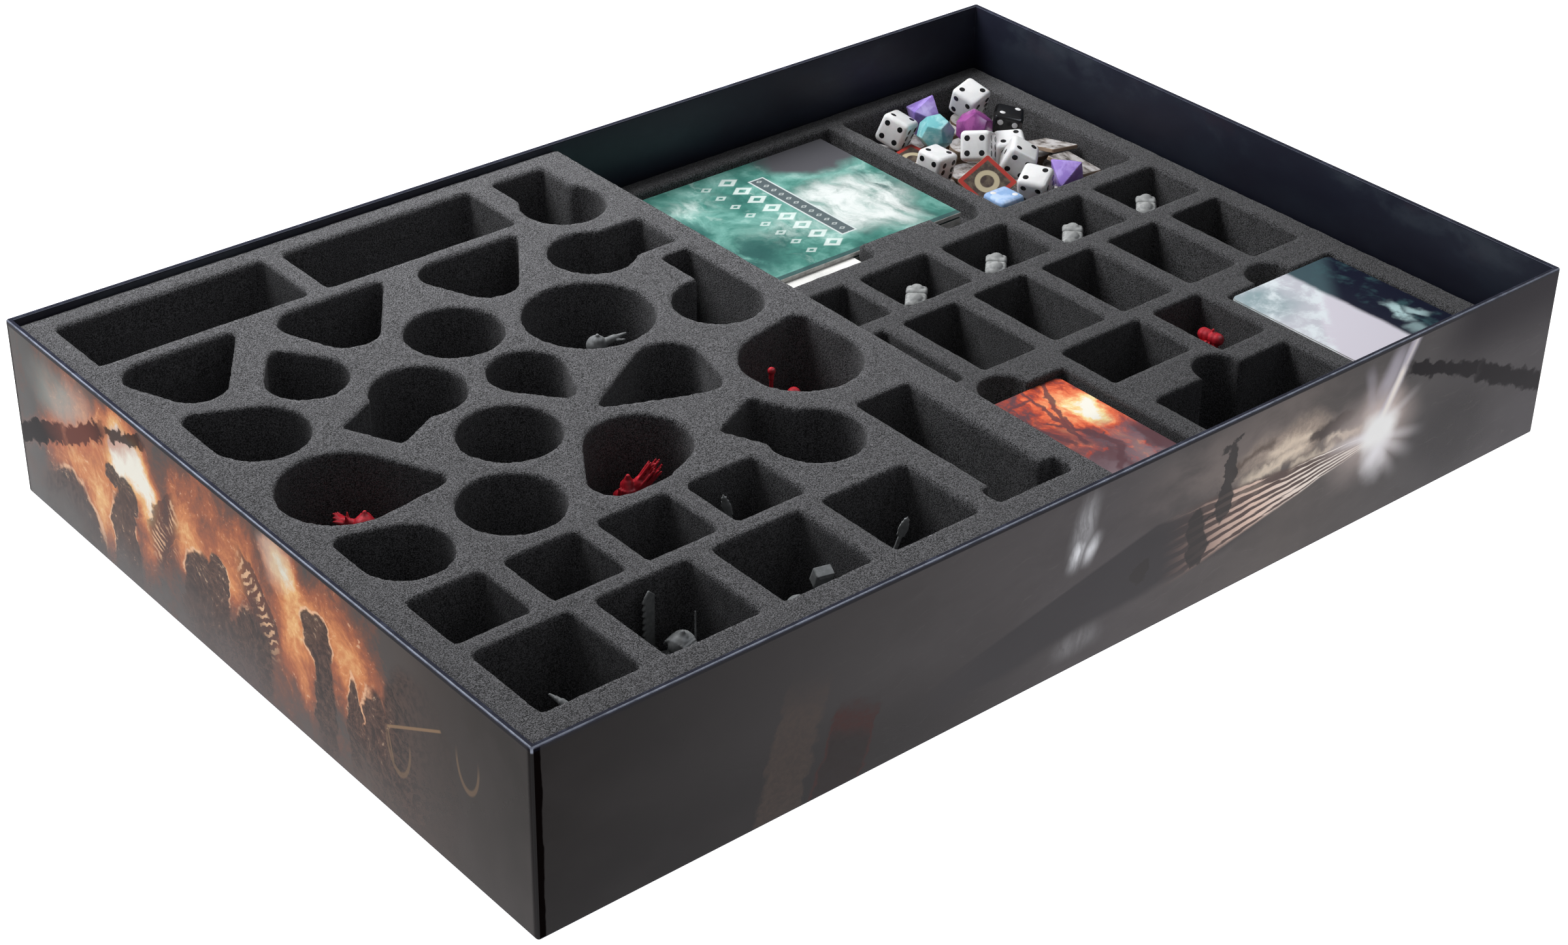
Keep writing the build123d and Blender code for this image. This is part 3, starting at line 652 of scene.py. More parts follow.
def mist_cover_material():
    """Booklet cover: green mist round a pale cloud, grey in one corner, with a plate and lozenges."""
    paint = Paint("mist_cover")
    flat = paint.combine(paint.x, paint.y)
    loose = paint.warp(flat, 30, 30, 6.0)
    cloud = paint.noise(loose, 36, 8.0, 0.64)
    wisps = paint.noise(loose * (1.5, 0.6, 1), 60, 7.0, 0.68)
    paint.color = paint.ramp(
        cloud, (0.34, (0.022, 0.11, 0.095)), (0.48, (0.06, 0.215, 0.18)), (0.6, (0.16, 0.37, 0.325)),
        (0.74, (0.45, 0.64, 0.6)),
    )
    bright = paint.blob(loose, (132, 112), (38, 40), 0.45)
    paint.over(bright * paint.step(wisps, 0.3, 0.62, 0.25, 1.0), (0.72, 0.76, 0.75))
    beam = paint.blob(loose, (86, 112), (36, 24), 0.1)
    beam = paint.most(beam, paint.blob(loose, (62, 160), (30, 16), 0.1))
    paint.over(beam * paint.step(wisps, 0.35, 0.65) * 0.75, (0.5, 0.62, 0.59))
    paint.over(paint.step(wisps, 0.58, 0.72) * 0.35, (0.66, 0.76, 0.73))
    shade = paint.most(
        paint.blob(loose, (52, 102), (22, 24), 0.2), paint.blob(loose, (40, 140), (26, 20), 0.1),
        paint.blob(loose, (158, 126), (10, 26), 0.2),
    )
    paint.over(shade * paint.step(wisps, 0.66, 0.44) * 0.92, (0.02, 0.085, 0.08))
    paint.over(paint.blob(paint.warp(flat, 50, 22, 6.0), (148, 172), (38, 28), 0.62), (0.085, 0.085, 0.095))

    across = abs(paint.x - 0.107)
    lengthways = abs(paint.y - 0.1265)
    plate = paint.step(across, 0.0052, 0.0048) * paint.step(lengthways, 0.0372, 0.0368)
    inner = paint.step(across, 0.0042, 0.0039) * paint.step(lengthways, 0.0362, 0.0359)
    paint.over(plate, (0.58, 0.64, 0.64))
    paint.over(inner, (0.095, 0.125, 0.135))
    for centre_x, half, pitch, strength in (
        (0.0935, 0.0058, 0.0118, 0.62), (0.0795, 0.0034, 0.0118, 0.45), (0.107, 0.0018, 0.0059, 0.4),
    ):
        step_y = paint.math("FRACT", (paint.y - 0.0806) / pitch)
        off_y = abs(step_y - 0.5) * pitch
        off_x = abs(paint.x - centre_x)
        away = off_y + off_x * 0.75
        lozenge = paint.step(away, half * 0.9, half * 0.75) * paint.step(away, half * 0.3, half * 0.42)
        inside = paint.step(paint.y, 0.0806, 0.0812) * paint.step(paint.y, 0.175, 0.1744)
        if centre_x == 0.107:
            inside = inner
        paint.over(lozenge * inside * strength, (0.84, 0.9, 0.88))
    paint.over(paint.step(paint.y, 0.0752, 0.0746) * 0.85, (0.03, 0.065, 0.07))
    return paint.finish(paint.color, 0.3, Specular_IOR_Level=0.5)


def warm_card_material(x_low, y_high):
    """Card back with an abstract fire: x_low and y_high are the card's left and back edges."""
    paint = Paint("warm_card_face")
    flat = paint.combine(paint.x - x_low, y_high - paint.y)
    right, down, _ = paint.split(flat)
    loose = paint.warp(flat, 60, 17, 8.0)
    flame = paint.noise(loose * (1, 0.6, 1), 60, 7.0, 0.66)
    heat = paint.total(
        paint.blob(loose, (63, 30), (13, 22), 0.0) * 0.6, paint.blob(loose, (54, 22), (34, 34)) * 0.42,
        paint.blob(loose, (58, 68), (10, 32)) * 0.42, paint.blob(loose, (34, 50), (12, 12)) * 0.25,
        paint.step(flame, 0.32, 0.68, -0.12, 0.44),
    )
    heat = paint.math("SUBTRACT", heat, paint.step(down, 0.04, 0.085, 0.0, 0.16), clamp=True)
    paint.color = paint.ramp(
        heat, (0.1, (0.13, 0.06, 0.07)), (0.26, (0.48, 0.07, 0.04)), (0.44, (0.86, 0.17, 0.07)),
        (0.64, (0.98, 0.38, 0.17)), (0.82, (1.0, 0.78, 0.36)), (0.97, (1.0, 0.97, 0.86)),
    )
    smoke = paint.noise(loose * (1.2, 0.8, 1), 48, 6.0, 0.62)
    low = paint.step(smoke, 0.42, 0.56) * paint.step(down, 0.03, 0.058)
    paint.over(low * 0.85, (0.17, 0.125, 0.15))
    left = paint.step(smoke, 0.44, 0.56) * paint.step(right + down * -0.25, 0.04, 0.026)
    paint.over(left * 0.75, (0.15, 0.055, 0.06))
    haze = paint.step(down, 0.052, 0.09) * paint.step(smoke, 0.3, 0.6)
    paint.over(haze * 0.8, (0.3, 0.26, 0.29))
    torn = paint.warp(flat, 170, 7, 6.0)
    strokes = paint.most(
        paint.streak(torn, (37, 26), (50, 46), 1.3, 0.5), paint.streak(torn, (48, 28), (40, 46), 1.1, 0.5),
        paint.streak(torn, (52, 58), (36, 74), 2.6, 0.4), paint.streak(torn, (62, -4), (42, 36), 1.7, 0.5),
        paint.streak(torn, (48, -4), (40, 50), 1.5, 0.5), paint.streak(torn, (30, 8), (46, 8), 1.2, 0.4),
        paint.streak(torn, (24, 0), (36, 48), 1.9, 0.5), paint.streak(torn, (46, 40), (52, 60), 2.4, 0.5),
        paint.streak(torn, (14, 10), (28, 26), 1.8, 0.5), paint.streak(torn, (70, 50), (64, 104), 5.2, 0.6),
    )
    paint.over(strokes * 0.85, (0.115, 0.05, 0.06))
    return paint.finish(paint.color, 0.32, Specular_IOR_Level=0.5)


def cool_card_material(x_low, y_high):
    """Card back with a cold beam of light: x_low and y_high are the card's left and back edges."""
    paint = Paint("cool_card_face")
    flat = paint.combine(paint.x - x_low, y_high - paint.y)
    right, down, _ = paint.split(flat)
    loose = paint.warp(flat, 50, 14, 6.0)
    veil = paint.noise(loose, 60, 7.0, 0.64)
    lean = down + right * 1.1
    dark = paint.mix(paint.step(lean, 0.066, 0.082), (0.06, 0.105, 0.125), (0.01, 0.012, 0.028))
    dark = paint.mix(paint.step(veil, 0.5, 0.7) * 0.55, dark, (0.07, 0.17, 0.18))
    light = paint.mix(paint.step(lean, 0.064, 0.058), (0.74, 0.71, 0.8), (0.62, 0.63, 0.7))
    light = paint.mix(paint.step(veil, 0.42, 0.6, 0.0, 0.85), light, (0.86, 0.94, 0.98))
    grey = paint.blob(loose, (8, 12), (24, 26), 0.2) * paint.step(veil, 0.7, 0.4)
    light = paint.mix(grey * 0.8, light, (0.22, 0.36, 0.38))
    plain = paint.step(lean, 0.064, 0.07) * paint.step(right, 0.045, 0.035)
    light = paint.mix(plain, light, (0.74, 0.71, 0.8))
    paint.color = paint.mix(paint.step(right + veil * 0.004, 0.0435, 0.0395), dark, light)
    ragged = paint.warp(flat, 90, 12, 7.0)
    spark = paint.most(
        paint.lines(ragged, (1.0, (55.5, 50), (51, 66), 5), (0.8, (58, 58), (62, 68), 4.2), sharp=0.3),
        paint.blob(ragged, (54, 88), (14, 12), 0.2) * 0.75, paint.blob(ragged, (47, 72), (8, 6), 0.2) * 0.5,
    )
    spark = spark * paint.step(veil, 0.36, 0.52, 0.3, 1.0)
    paint.over(spark, (0.5, 0.7, 0.72))
    return paint.finish(paint.color, 0.3, Specular_IOR_Level=0.5)


def dice_material(name, color, swirl=None):
    """Polished cast plastic, clouded with a second colour if one is given."""
    paint = Paint(name)
    cloud = paint.noise(paint.warp(paint.place, 90, 8), 130, 3.0, 0.6)
    mixed = paint.mix(paint.step(cloud, 0.42, 0.62), color, swirl or tuple(0.93 * c for c in color))
    paint.bump(paint.noise(paint.place, 700, 2.0), 0.03 * MM, 0.3)
    return paint.finish(mixed, 0.22, Specular_IOR_Level=0.5, Subsurface_Weight=0.04)


def figure_material(name, color):
    """Moulded plastic of a playing figure, a little lighter on worn patches."""
    paint = Paint(name)
    dust = paint.noise(paint.place, 420, 4.0, 0.6)
    mixed = paint.mix(
        paint.step(dust, 0.4, 0.7), tuple(0.8 * c for c in color), tuple(1.15 * c for c in color),
    )
    paint.bump(dust, 0.1 * MM, 0.5)
    return paint.finish(mixed, 0.48, Specular_IOR_Level=0.45)


def counter_face_material():
    """Printed face of a square counter: a red frame round a dark field, with a pale ring in it."""
    paint = Paint("counter_face")
    reach = paint.math("MAXIMUM", abs(paint.x), abs(paint.y))
    away = paint.vector("LENGTH", paint.combine(paint.x, paint.y))
    cloud = paint.noise(paint.place, 300, 4.0, 0.6)
    paint.color = paint.mix(paint.step(cloud, 0.4, 0.65), (0.045, 0.03, 0.026), (0.11, 0.085, 0.06))
    ring = abs(away - 5.0 * MM)
    paint.over(paint.step(ring, 1.7 * MM, 1.1 * MM), (0.42, 0.36, 0.24))
    paint.over(paint.step(reach, 8.4 * MM, 8.9 * MM), (0.33, 0.03, 0.022))
    return paint.finish(paint.color, 0.35, Specular_IOR_Level=0.5)


def pale_face_material():
    """Pale printed face of a counter, with a mottled stone look."""
    paint = Paint("pale_face")
    cloud = paint.noise(paint.warp(paint.place, 120, 6), 150, 5.0, 0.65)
    paint.color = paint.ramp(
        cloud, (0.36, (0.06, 0.052, 0.05)), (0.44, (0.3, 0.27, 0.25)), (0.54, (0.56, 0.54, 0.54)),
        (0.7, (0.7, 0.68, 0.68)),
    )
    return paint.finish(paint.color, 0.4, Specular_IOR_Level=0.5)


FOAM = foam_material("grey_foam", 1.0)
# A darker copy of the same foam: painted shade for the right tray, which sits lower in the box
PAINTED_SHADE_FOAM = foam_material("grey_foam_painted_shade", 0.72)
GREY_BOARD = paper_material("grey_board", (0.4, 0.38, 0.35))
TAPE = paper_material("paper_tape", (0.42, 0.33, 0.2))
BLACK_PAPER = paper_material("black_paper", (0.02, 0.02, 0.023))
WHITE_PAPER = paper_material("leaflet_paper", (0.78, 0.78, 0.76))
COUNTER_EDGE = paper_material("counter_board", (0.34, 0.25, 0.18))
COUNTER_FACE = counter_face_material()
PALE_FACE = pale_face_material()

# ---------------------------------------------------------------- box base


def rounded_rectangle(half_x, half_y, radius, steps):
    """Points round a rectangle with rounded corners, anticlockwise."""
    points = []
    for corner, (side_x, side_y) in enumerate(((1, 1), (-1, 1), (-1, -1), (1, -1))):
        for i in range(steps + 1):
            angle = (corner + i / steps) * math.pi / 2
            x = side_x * (half_x - radius) + radius * math.cos(angle)
            y = side_y * (half_y - radius) + radius * math.sin(angle)
            points.append((x, y))
    return points


def arc(centre_in, centre_z, radius, start, end, steps):
    """Profile points (distance in from the outside, height) round a centre, by degrees from inwards."""
    points = []
    for i in range(steps + 1):
        angle = math.radians(start + (end - start) * i / steps)
        points.append((centre_in + radius * math.cos(angle), centre_z + radius * math.sin(angle)))
    return points


PAPER = 0.3 * MM
CORNER_RADIUS = 1.4 * MM
CORNER_STEPS = 5


def build_wrap():
    """The printed sheet: outside, over the rim, down the inside, and turned under the base."""
    fold = 0.9 * MM
    turn_under = 15 * MM
    profile = [(turn_under, 0.0), *arc(fold, fold, fold, 270, 180, 3)]
    profile += arc(fold, BOX_HEIGHT - fold, fold, 180, 90, 4)
    profile += arc(WALL - fold, BOX_HEIGHT - fold, fold, 90, 0, 4)
    profile += [(WALL, FLOOR_TOP), (WALL - PAPER, FLOOR_TOP), (WALL - PAPER, BOX_HEIGHT - 2 * PAPER)]
    profile += [(PAPER, BOX_HEIGHT - 2 * PAPER), (PAPER, PAPER), (turn_under, PAPER)]
    bm = bmesh.new()
    loops = []
    for inwards, height in profile:
        half_x = BOX_LENGTH / 2 - inwards
        half_y = BOX_WIDTH / 2 - inwards
        radius = max(CORNER_RADIUS - inwards, 0.35 * MM)
        loops.append(level_ring(bm, rounded_rectangle(half_x, half_y, radius, CORNER_STEPS), height))
    loft(bm, [*loops, loops[0]], caps=False)
    mesh = mesh_from("printed_wrap_sheet", bm)
    outside_x, outside_y = BOX_LENGTH / 2 - 0.05 * MM, BOX_WIDTH / 2 - 0.05 * MM
    corner = 1.5 * MM
    for face in mesh.polygons:
        middle = face.center
        if middle.z > BOX_HEIGHT - 1.2 * fold or middle.z < 0.2 * fold:
            face.material_index = 5
        elif abs(middle.x) > outside_x:
            face.material_index = 0 if middle.x < 0 else 1
        elif abs(middle.y) > outside_y:
            face.material_index = 2 if middle.y < 0 else 3
        elif abs(middle.x) > BOX_LENGTH / 2 - corner and abs(middle.y) > BOX_WIDTH / 2 - corner:
            face.material_index = 5
        else:
            face.material_index = 4
    piece = link("printed_wrap_sheet", mesh)
    wear(
        piece, fire_wall_material("wrap_left", -1), fire_wall_material("wrap_right", 1),
        beam_wall_material("wrap_front", -1), beam_wall_material("wrap_back", 1), inside_wall_material(),
        rim_material(),
    )
    finish_piece(piece, "box", "printed_wrap", "printed_wrap")


build_wrap()


def build_corner_stay(node, side_x, side_y):
    """A strip of tape folded round a corner of the boards, just under the wrap."""
    low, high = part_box(node)
    leg = 18 * MM
    bm = bmesh.new()
    rings = []
    for inwards in (PAPER + 0.02 * MM, PAPER + 0.16 * MM):
        radius = CORNER_RADIUS - inwards
        middle_x = side_x * (BOX_LENGTH / 2 - CORNER_RADIUS)
        middle_y = side_y * (BOX_WIDTH / 2 - CORNER_RADIUS)
        path = [(middle_x + side_x * radius, middle_y - side_y * leg)]
        for i in range(CORNER_STEPS + 1):
            angle = i / CORNER_STEPS * math.pi / 2
            off_x, off_y = radius * math.cos(angle), radius * math.sin(angle)
            path.append((middle_x + side_x * off_x, middle_y + side_y * off_y))
        path.append((middle_x - side_x * leg, middle_y + side_y * radius))
        rings.append(path)
    outline = rings[0] + rings[1][::-1]
    lower, upper = level_ring(bm, outline, low.z), level_ring(bm, outline, high.z)
    loft(bm, (lower, upper), caps=False)
    count = len(outline)
    half = count // 2
    for ring in (lower, upper):
        for i in range(half - 1):
            bm.faces.new((ring[i], ring[i + 1], ring[count - 2 - i], ring[count - 1 - i]))
    piece = link(f"{node}_tape", mesh_from(f"{node}_tape", bm, smooth=False))
    wear(piece, TAPE)
    finish_piece(piece, "box", "paper_tape", node)


for side_y, row in ((-1, "front"), (1, "back")):
    for side_x, column in ((-1, "left"), (1, "right")):
        build_corner_stay(f"corner_stay_{row}_{column}", side_x, side_y)

WALL_BOARDS = ("front_wall_board", "back_wall_board", "left_wall_board", "right_wall_board")
for node in WALL_BOARDS:
    weld = nodes[node].modifiers.new("weld", "WELD")
    weld.merge_threshold = 1e-6
    soften = nodes[node].modifiers.new("soften", "BEVEL")
    soften.width = 0.7 * MM
    soften.segments = 2

for name in ("floor_board", *WALL_BOARDS):
    wear(nodes[name], GREY_BOARD)
for name in ("base_sheet", "floor_liner"):
    wear(nodes[name], BLACK_PAPER)

# ---------------------------------------------------------------- foam trays


def soft_block(name, node, body, foam, voxel):
    """A cut foam block: the CAD shape with soft edges and a slightly uneven skin."""
    piece = link(name, mesh_from(name, welded(node)))
    remeshed(piece, voxel)
    hold = piece.modifiers.new("hold", "SHRINKWRAP")
    hold.wrap_method = "NEAREST_SURFACEPOINT"
    hold.target = nodes[node]
    apply_modifiers(piece)
    mesh = piece.data
    count = len(mesh.vertices)
    places = np.empty(count * 3, np.float32)
    normals = np.empty(count * 3, np.float32)
    mesh.vertices.foreach_get("co", places)
    mesh.vertex_normals.foreach_get("vector", normals)
    places = places.reshape(-1, 3)
    normals = normals.reshape(-1, 3)
    low, high = places.min(0), places.max(0)
    push = np.array([noise.noise(Vector(p) * 260) for p in places.tolist()]) * 0.22 * MM
    push += np.array([noise.noise(Vector(p) * 45) for p in places.tolist()]) * 0.25 * MM
    places += normals * push[:, None]
    places = np.clip(places, low - 0.1 * MM, high + 0.1 * MM)
    mesh.vertices.foreach_set("co", places.ravel())
    mesh.polygons.foreach_set("use_smooth", [True] * len(mesh.polygons))
    wear(piece, foam)
    finish_piece(piece, body, "grey_foam", node)


# Each voxel size is as small as keeps its block under 200 000 triangles
# The right tray wears the darker copy of the foam, which is painted shade
for side, foam, voxel in (
    ("lower", FOAM, 2.4 * MM), ("upper", FOAM, 2.26 * MM), ("right", PAINTED_SHADE_FOAM, 1.9 * MM),
):
    soft_block(f"{side}_tray_block", f"{side}_tray_foam", f"{side}_tray", foam, voxel)
    soft_block(f"{side}_tray_sheet", f"{side}_tray_base", f"{side}_tray", foam, 2.4 * MM)

# ---------------------------------------------------------------- booklets and cards


def rounded_slab(name, low, high, radius, bevel, materials):
    """A flat piece with rounded corners in plan and soft edges. Slot 0 is its top, slot 1 its edges."""
    middle = (low + high) / 2
    size = high - low
    bm = bmesh.new()
    loops = []
    for height, inwards in ((0, bevel), (bevel, 0), (size.z - bevel, 0), (size.z, bevel)):
        half_x, half_y = size.x / 2 - inwards, size.y / 2 - inwards
        outline = rounded_rectangle(half_x, half_y, max(radius - inwards, 0.01 * MM), CORNER_STEPS)
        loops.append(level_ring(bm, [(middle.x + x, middle.y + y) for x, y in outline], low.z + height))
    loft(bm, loops)
    piece = link(name, mesh_from(name, bm, smooth=False))
    face_slots(piece.data)
    wear(piece, *materials)
    return piece


PAGE_EDGE = layered_edge_material("booklet_pages", (0.7, 0.69, 0.66), 0.12 * MM)
MIST_COVER = mist_cover_material()
for name in ("booklet_bottom", "booklet_middle", "booklet_top"):
    low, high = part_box(name)
    piece = rounded_slab(f"{name}_cover", low, high, 0.6 * MM, 0.25 * MM, (MIST_COVER, PAGE_EDGE))
    finish_piece(piece, "booklets", "booklet_paper", name)
low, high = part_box("leaflet")
piece = rounded_slab("leaflet_sheet", low, high, 0.5 * MM, 0.1 * MM, (WHITE_PAPER, WHITE_PAPER))
finish_piece(piece, "booklets", "leaflet_paper", "leaflet")

CARD_THICKNESS = 0.5 * MM
CARD_EDGE = paper_material("card_edge", (0.62, 0.61, 0.58))


def build_deck(name, node, body, slot, face_material):
    """A pile of separate cards that don't line up quite."""
    low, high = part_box(node)
    slack = 0.35 * MM
    count = int((high.z - low.z) / CARD_THICKNESS)
    thickness = (high.z - low.z) / count
    rng = random.Random(len(node))
    bm = bmesh.new()
    half_x = (high.x - low.x) / 2 - slack
    half_y = (high.y - low.y) / 2 - slack
    outline = rounded_rectangle(half_x, half_y, 3 * MM, 4)
    for i in range(count):
        shift_x = (low.x + high.x) / 2 + rng.uniform(-1, 1) * slack
        shift_y = (low.y + high.y) / 2 + rng.uniform(-1, 1) * slack
        bottom = low.z + i * thickness
        top = bottom + 0.86 * thickness if i < count - 1 else high.z
        shifted = [(x + shift_x, y + shift_y) for x, y in outline]
        loft(bm, (level_ring(bm, shifted, bottom), level_ring(bm, shifted, top)))
    piece = link(name, mesh_from(name, bm, smooth=False))
    face_slots(piece.data)
    wear(piece, face_material, CARD_EDGE)
    finish_piece(piece, body, slot, node)


for side, slot, face_material in (
    ("left", "warm_cards", warm_card_material), ("right", "cool_cards", cool_card_material),
):
    low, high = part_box(f"card_deck_{side}")
    face = face_material(low.x, high.y)
    build_deck(f"{side}_deck_cards", f"card_deck_{side}", f"{side}_deck", slot, face)

# ---------------------------------------------------------------- dice and counters


def loose_parts(node):
    """The separate solids of a CAD node, each as (its points, its faces' normals and areas)."""
    bm = welded(node)
    bm.faces.index_update()
    seen = set()
    parts = []
    for start in bm.verts:
        if start in seen:
            continue
        seen.add(start)
        group = [start]
        for vert in group:
            for edge in vert.link_edges:
                other = edge.other_vert(vert)
                if other not in seen:
                    seen.add(other)
                    group.append(other)
        faces = {face.index: face for vert in group for face in vert.link_faces}
        points = [vert.co.copy() for vert in group]
        parts.append(
            (points, [(face.normal.copy(), face.calc_area()) for _, face in sorted(faces.items())])
        )
    bm.free()
    return parts


def own_frame(part):
    """A solid's own placement: its middle, turned to its two largest square faces."""
    points, faces = part
    totals = []
    for normal, area in faces:
        for entry in totals:
            if entry[0].dot(normal) > 0.9995:
                entry[1] += area
                break
        else:
            totals.append([normal, area])
    totals.sort(key=lambda entry: -round(entry[1] / AREA_STEP))
    first = totals[0][0]
    second = next(normal for normal, area in totals if abs(normal.dot(first)) < 0.05)
    third = first.cross(second)
    axes = Matrix((second, third, first)).transposed()
    centre = Vector()
    for axis in (first, second, third):
        reach = [point.dot(axis) for point in points]
        centre += axis * (min(reach) + max(reach)) / 2
    return Matrix.Translation(centre) @ axes.to_4x4()


DIE = 16 * MM
AREA_STEP = 1e-9
PIP_PLACES = {
    1: ((0, 0),), 2: ((-1, -1), (1, 1)), 3: ((-1, -1), (0, 0), (1, 1)),
    4: ((-1, -1), (1, -1), (-1, 1), (1, 1)), 5: ((-1, -1), (1, -1), (-1, 1), (1, 1), (0, 0)),
    6: ((-1, -1), (1, -1), (-1, 0), (1, 0), (-1, 1), (1, 1)),
}


def die_mesh(name):
    """A tumbled cube with pips. Slot 0 is the body, slot 1 the pips."""
    bm = bmesh.new()
    bmesh.ops.create_cube(bm, size=DIE)
    bmesh.ops.bevel(bm, geom=bm.edges[:], offset=2.6 * MM, segments=5, profile=0.5, affect="EDGES")
    pips = []
    turns = (
        (Matrix.Identity(3), 4), (Matrix.Rotation(math.pi, 3, "X"), 3),
        (Matrix.Rotation(math.pi / 2, 3, "X"), 5), (Matrix.Rotation(-math.pi / 2, 3, "X"), 2),
        (Matrix.Rotation(math.pi / 2, 3, "Y"), 6), (Matrix.Rotation(-math.pi / 2, 3, "Y"), 1),
    )
    spread = 3.9 * MM
    radius = 1.55 * MM
    for turn, number in turns:
        for across, up in PIP_PLACES[number]:
            middle = (across * spread, up * spread)
            rings = []
            for height, reach in ((-0.4, 1.0), (0.03, 1.0), (0.06, 0.9)):
                rings.append(level_ring(bm, circle(16, radius * reach, middle), DIE / 2 + height * MM))
            for vert in rings[0] + rings[1] + rings[2]:
                vert.co = turn @ vert.co
            pips += loft(bm, rings)
    for face in pips:
        face.material_index = 1
    return mesh_from(name, bm)


WHITE_PLASTIC = dice_material("white_plastic", (0.78, 0.78, 0.79))
BLACK_PLASTIC = dice_material("black_plastic", (0.012, 0.012, 0.013))
BLUE_PLASTIC = dice_material("blue_plastic", (0.26, 0.42, 0.7), (0.46, 0.6, 0.84))
for node, slot, materials in (
    ("white_dice", "white_plastic", (WHITE_PLASTIC, BLACK_PLASTIC)),
    ("black_dice", "black_plastic", (BLACK_PLASTIC, WHITE_PLASTIC)),
    ("blue_dice", "blue_plastic", (BLUE_PLASTIC, WHITE_PLASTIC)),
):
    for i, part in enumerate(loose_parts(node)):
        name = f"{node}_{i + 1}"
        piece = link(name, die_mesh(name))
        wear(piece, *materials)
        piece.matrix_world = own_frame(part)
        finish_piece(piece, "dice_and_counters", slot, node)

for node, slot, color, swirl in (
    ("violet_dice", "violet_plastic", (0.3, 0.2, 0.6), (0.42, 0.32, 0.74)),
    ("teal_dice", "teal_plastic", (0.16, 0.46, 0.5), (0.36, 0.66, 0.68)),
    ("magenta_dice", "magenta_plastic", (0.2, 0.045, 0.2), (0.34, 0.09, 0.31)),
):
    bm = welded(node)
    bmesh.ops.dissolve_limit(bm, angle_limit=0.02, verts=bm.verts, edges=bm.edges)
    bmesh.ops.bevel(bm, geom=bm.edges[:], offset=0.5 * MM, segments=3, profile=0.5, affect="EDGES")
    piece = link(f"{node}_polished", mesh_from(f"{node}_polished", bm, smooth=True))
    wear(piece, dice_material(slot, color, swirl))
    finish_piece(piece, "dice_and_counters", slot, node)

COUNTER_THICKNESS = 2 * MM
PALE_FROM_X = 0.24


def build_counter_stacks():
    """Stacks of round counters, each counter with its own rounded edge."""
    bm = bmesh.new()
    rng = random.Random(5)
    for points, _ in loose_parts("counter_stacks"):
        middle = sum(points, Vector()) / len(points)
        low = min(p.z for p in points)
        high = max(p.z for p in points)
        radius = max((p.xy - middle.xy).length for p in points) - 0.4 * MM
        for i in range(round((high - low) / COUNTER_THICKNESS)):
            shift = Vector((rng.uniform(-1, 1), rng.uniform(-1, 1))) * 0.3 * MM
            bottom = low + i * COUNTER_THICKNESS
            rings = []
            for height, reach in ((0.0, 0.985), (0.12, 1.0), (0.86, 1.0), (0.98, 0.985)):
                points = circle(28, radius * reach, middle.xy + shift)
                rings.append(level_ring(bm, points, bottom + height * COUNTER_THICKNESS))
            loft(bm, rings)
    piece = link("round_counters", mesh_from("round_counters", bm, smooth=False))
    face_slots(piece.data, both_sides=True)
    wear(piece, PALE_FACE, COUNTER_EDGE)
    finish_piece(piece, "dice_and_counters", "counter_board", "counter_stacks")


build_counter_stacks()

for i, part in enumerate(loose_parts("square_counters")):
    placement = own_frame(part)
    local = [placement.inverted() @ point for point in part[0]]
    low = Vector([min(p[k] for p in local) for k in range(3)])
    high = Vector([max(p[k] for p in local) for k in range(3)])
    name = f"square_counter_{i + 1}"
    face_material = PALE_FACE if placement.translation.x > PALE_FROM_X else COUNTER_FACE
    piece = rounded_slab(name, low, high, 1.2 * MM, 0.2 * MM, (face_material, COUNTER_EDGE))
    face_slots(piece.data, both_sides=True)
    piece.matrix_world = placement
    finish_piece(piece, "dice_and_counters", "counter_board", "square_counters")

# ---------------------------------------------------------------- pawns


def capsule(bm, start, end, thick, thin):
    """A limb between two points, in millimetres, with round ends."""
    start, end = Vector(start) * MM, Vector(end) * MM
    turn = (end - start).to_track_quat("Z", "Y").to_matrix().to_4x4()
    place = Matrix.Translation((start + end) / 2) @ turn
    bmesh.ops.create_cone(
        bm, cap_ends=True, segments=16, radius1=thick * MM, radius2=thin * MM, depth=(end - start).length,
        matrix=place,
    )
    for point, radius in ((start, thick), (end, thin)):
        bmesh.ops.create_icosphere(bm, subdivisions=3, radius=radius * MM, matrix=Matrix.Translation(point))


def block(bm, middle, size, turns=(0, 0, 0)):
    """A box with its middle, size (in millimetres) and turns about X, Y and Z (in degrees)."""
    turn = Matrix.Rotation(math.radians(turns[2]), 4, "Z") @ Matrix.Rotation(math.radians(turns[1]), 4, "Y")
    turn = turn @ Matrix.Rotation(math.radians(turns[0]), 4, "X")
    place = Matrix.Translation(Vector(middle) * MM) @ turn @ Matrix.Diagonal((*(Vector(size) * MM), 1))
    bmesh.ops.create_cube(bm, size=1, matrix=place)


def robe(bm, profile, folds):
    """A turned shape (radius, height) in millimetres, with folds of cloth that fade at both ends."""
    around = 56
    top = profile[-1][1]
    rings = []
    for reach, height in profile:
        share = folds * max(0.0, math.sin(math.pi * min(height / top, 1.0)))
        points = []
        for i in range(around):
            angle = 2 * math.pi * i / around
            wave = 0.6 * math.cos(9 * angle + height * 0.1) + 0.4 * math.cos(14 * angle - height * 0.06)
            length = reach * (1 + share * wave) * MM
            points.append((length * math.cos(angle), length * math.sin(angle)))
        rings.append(level_ring(bm, points, height * MM))
    loft(bm, rings)


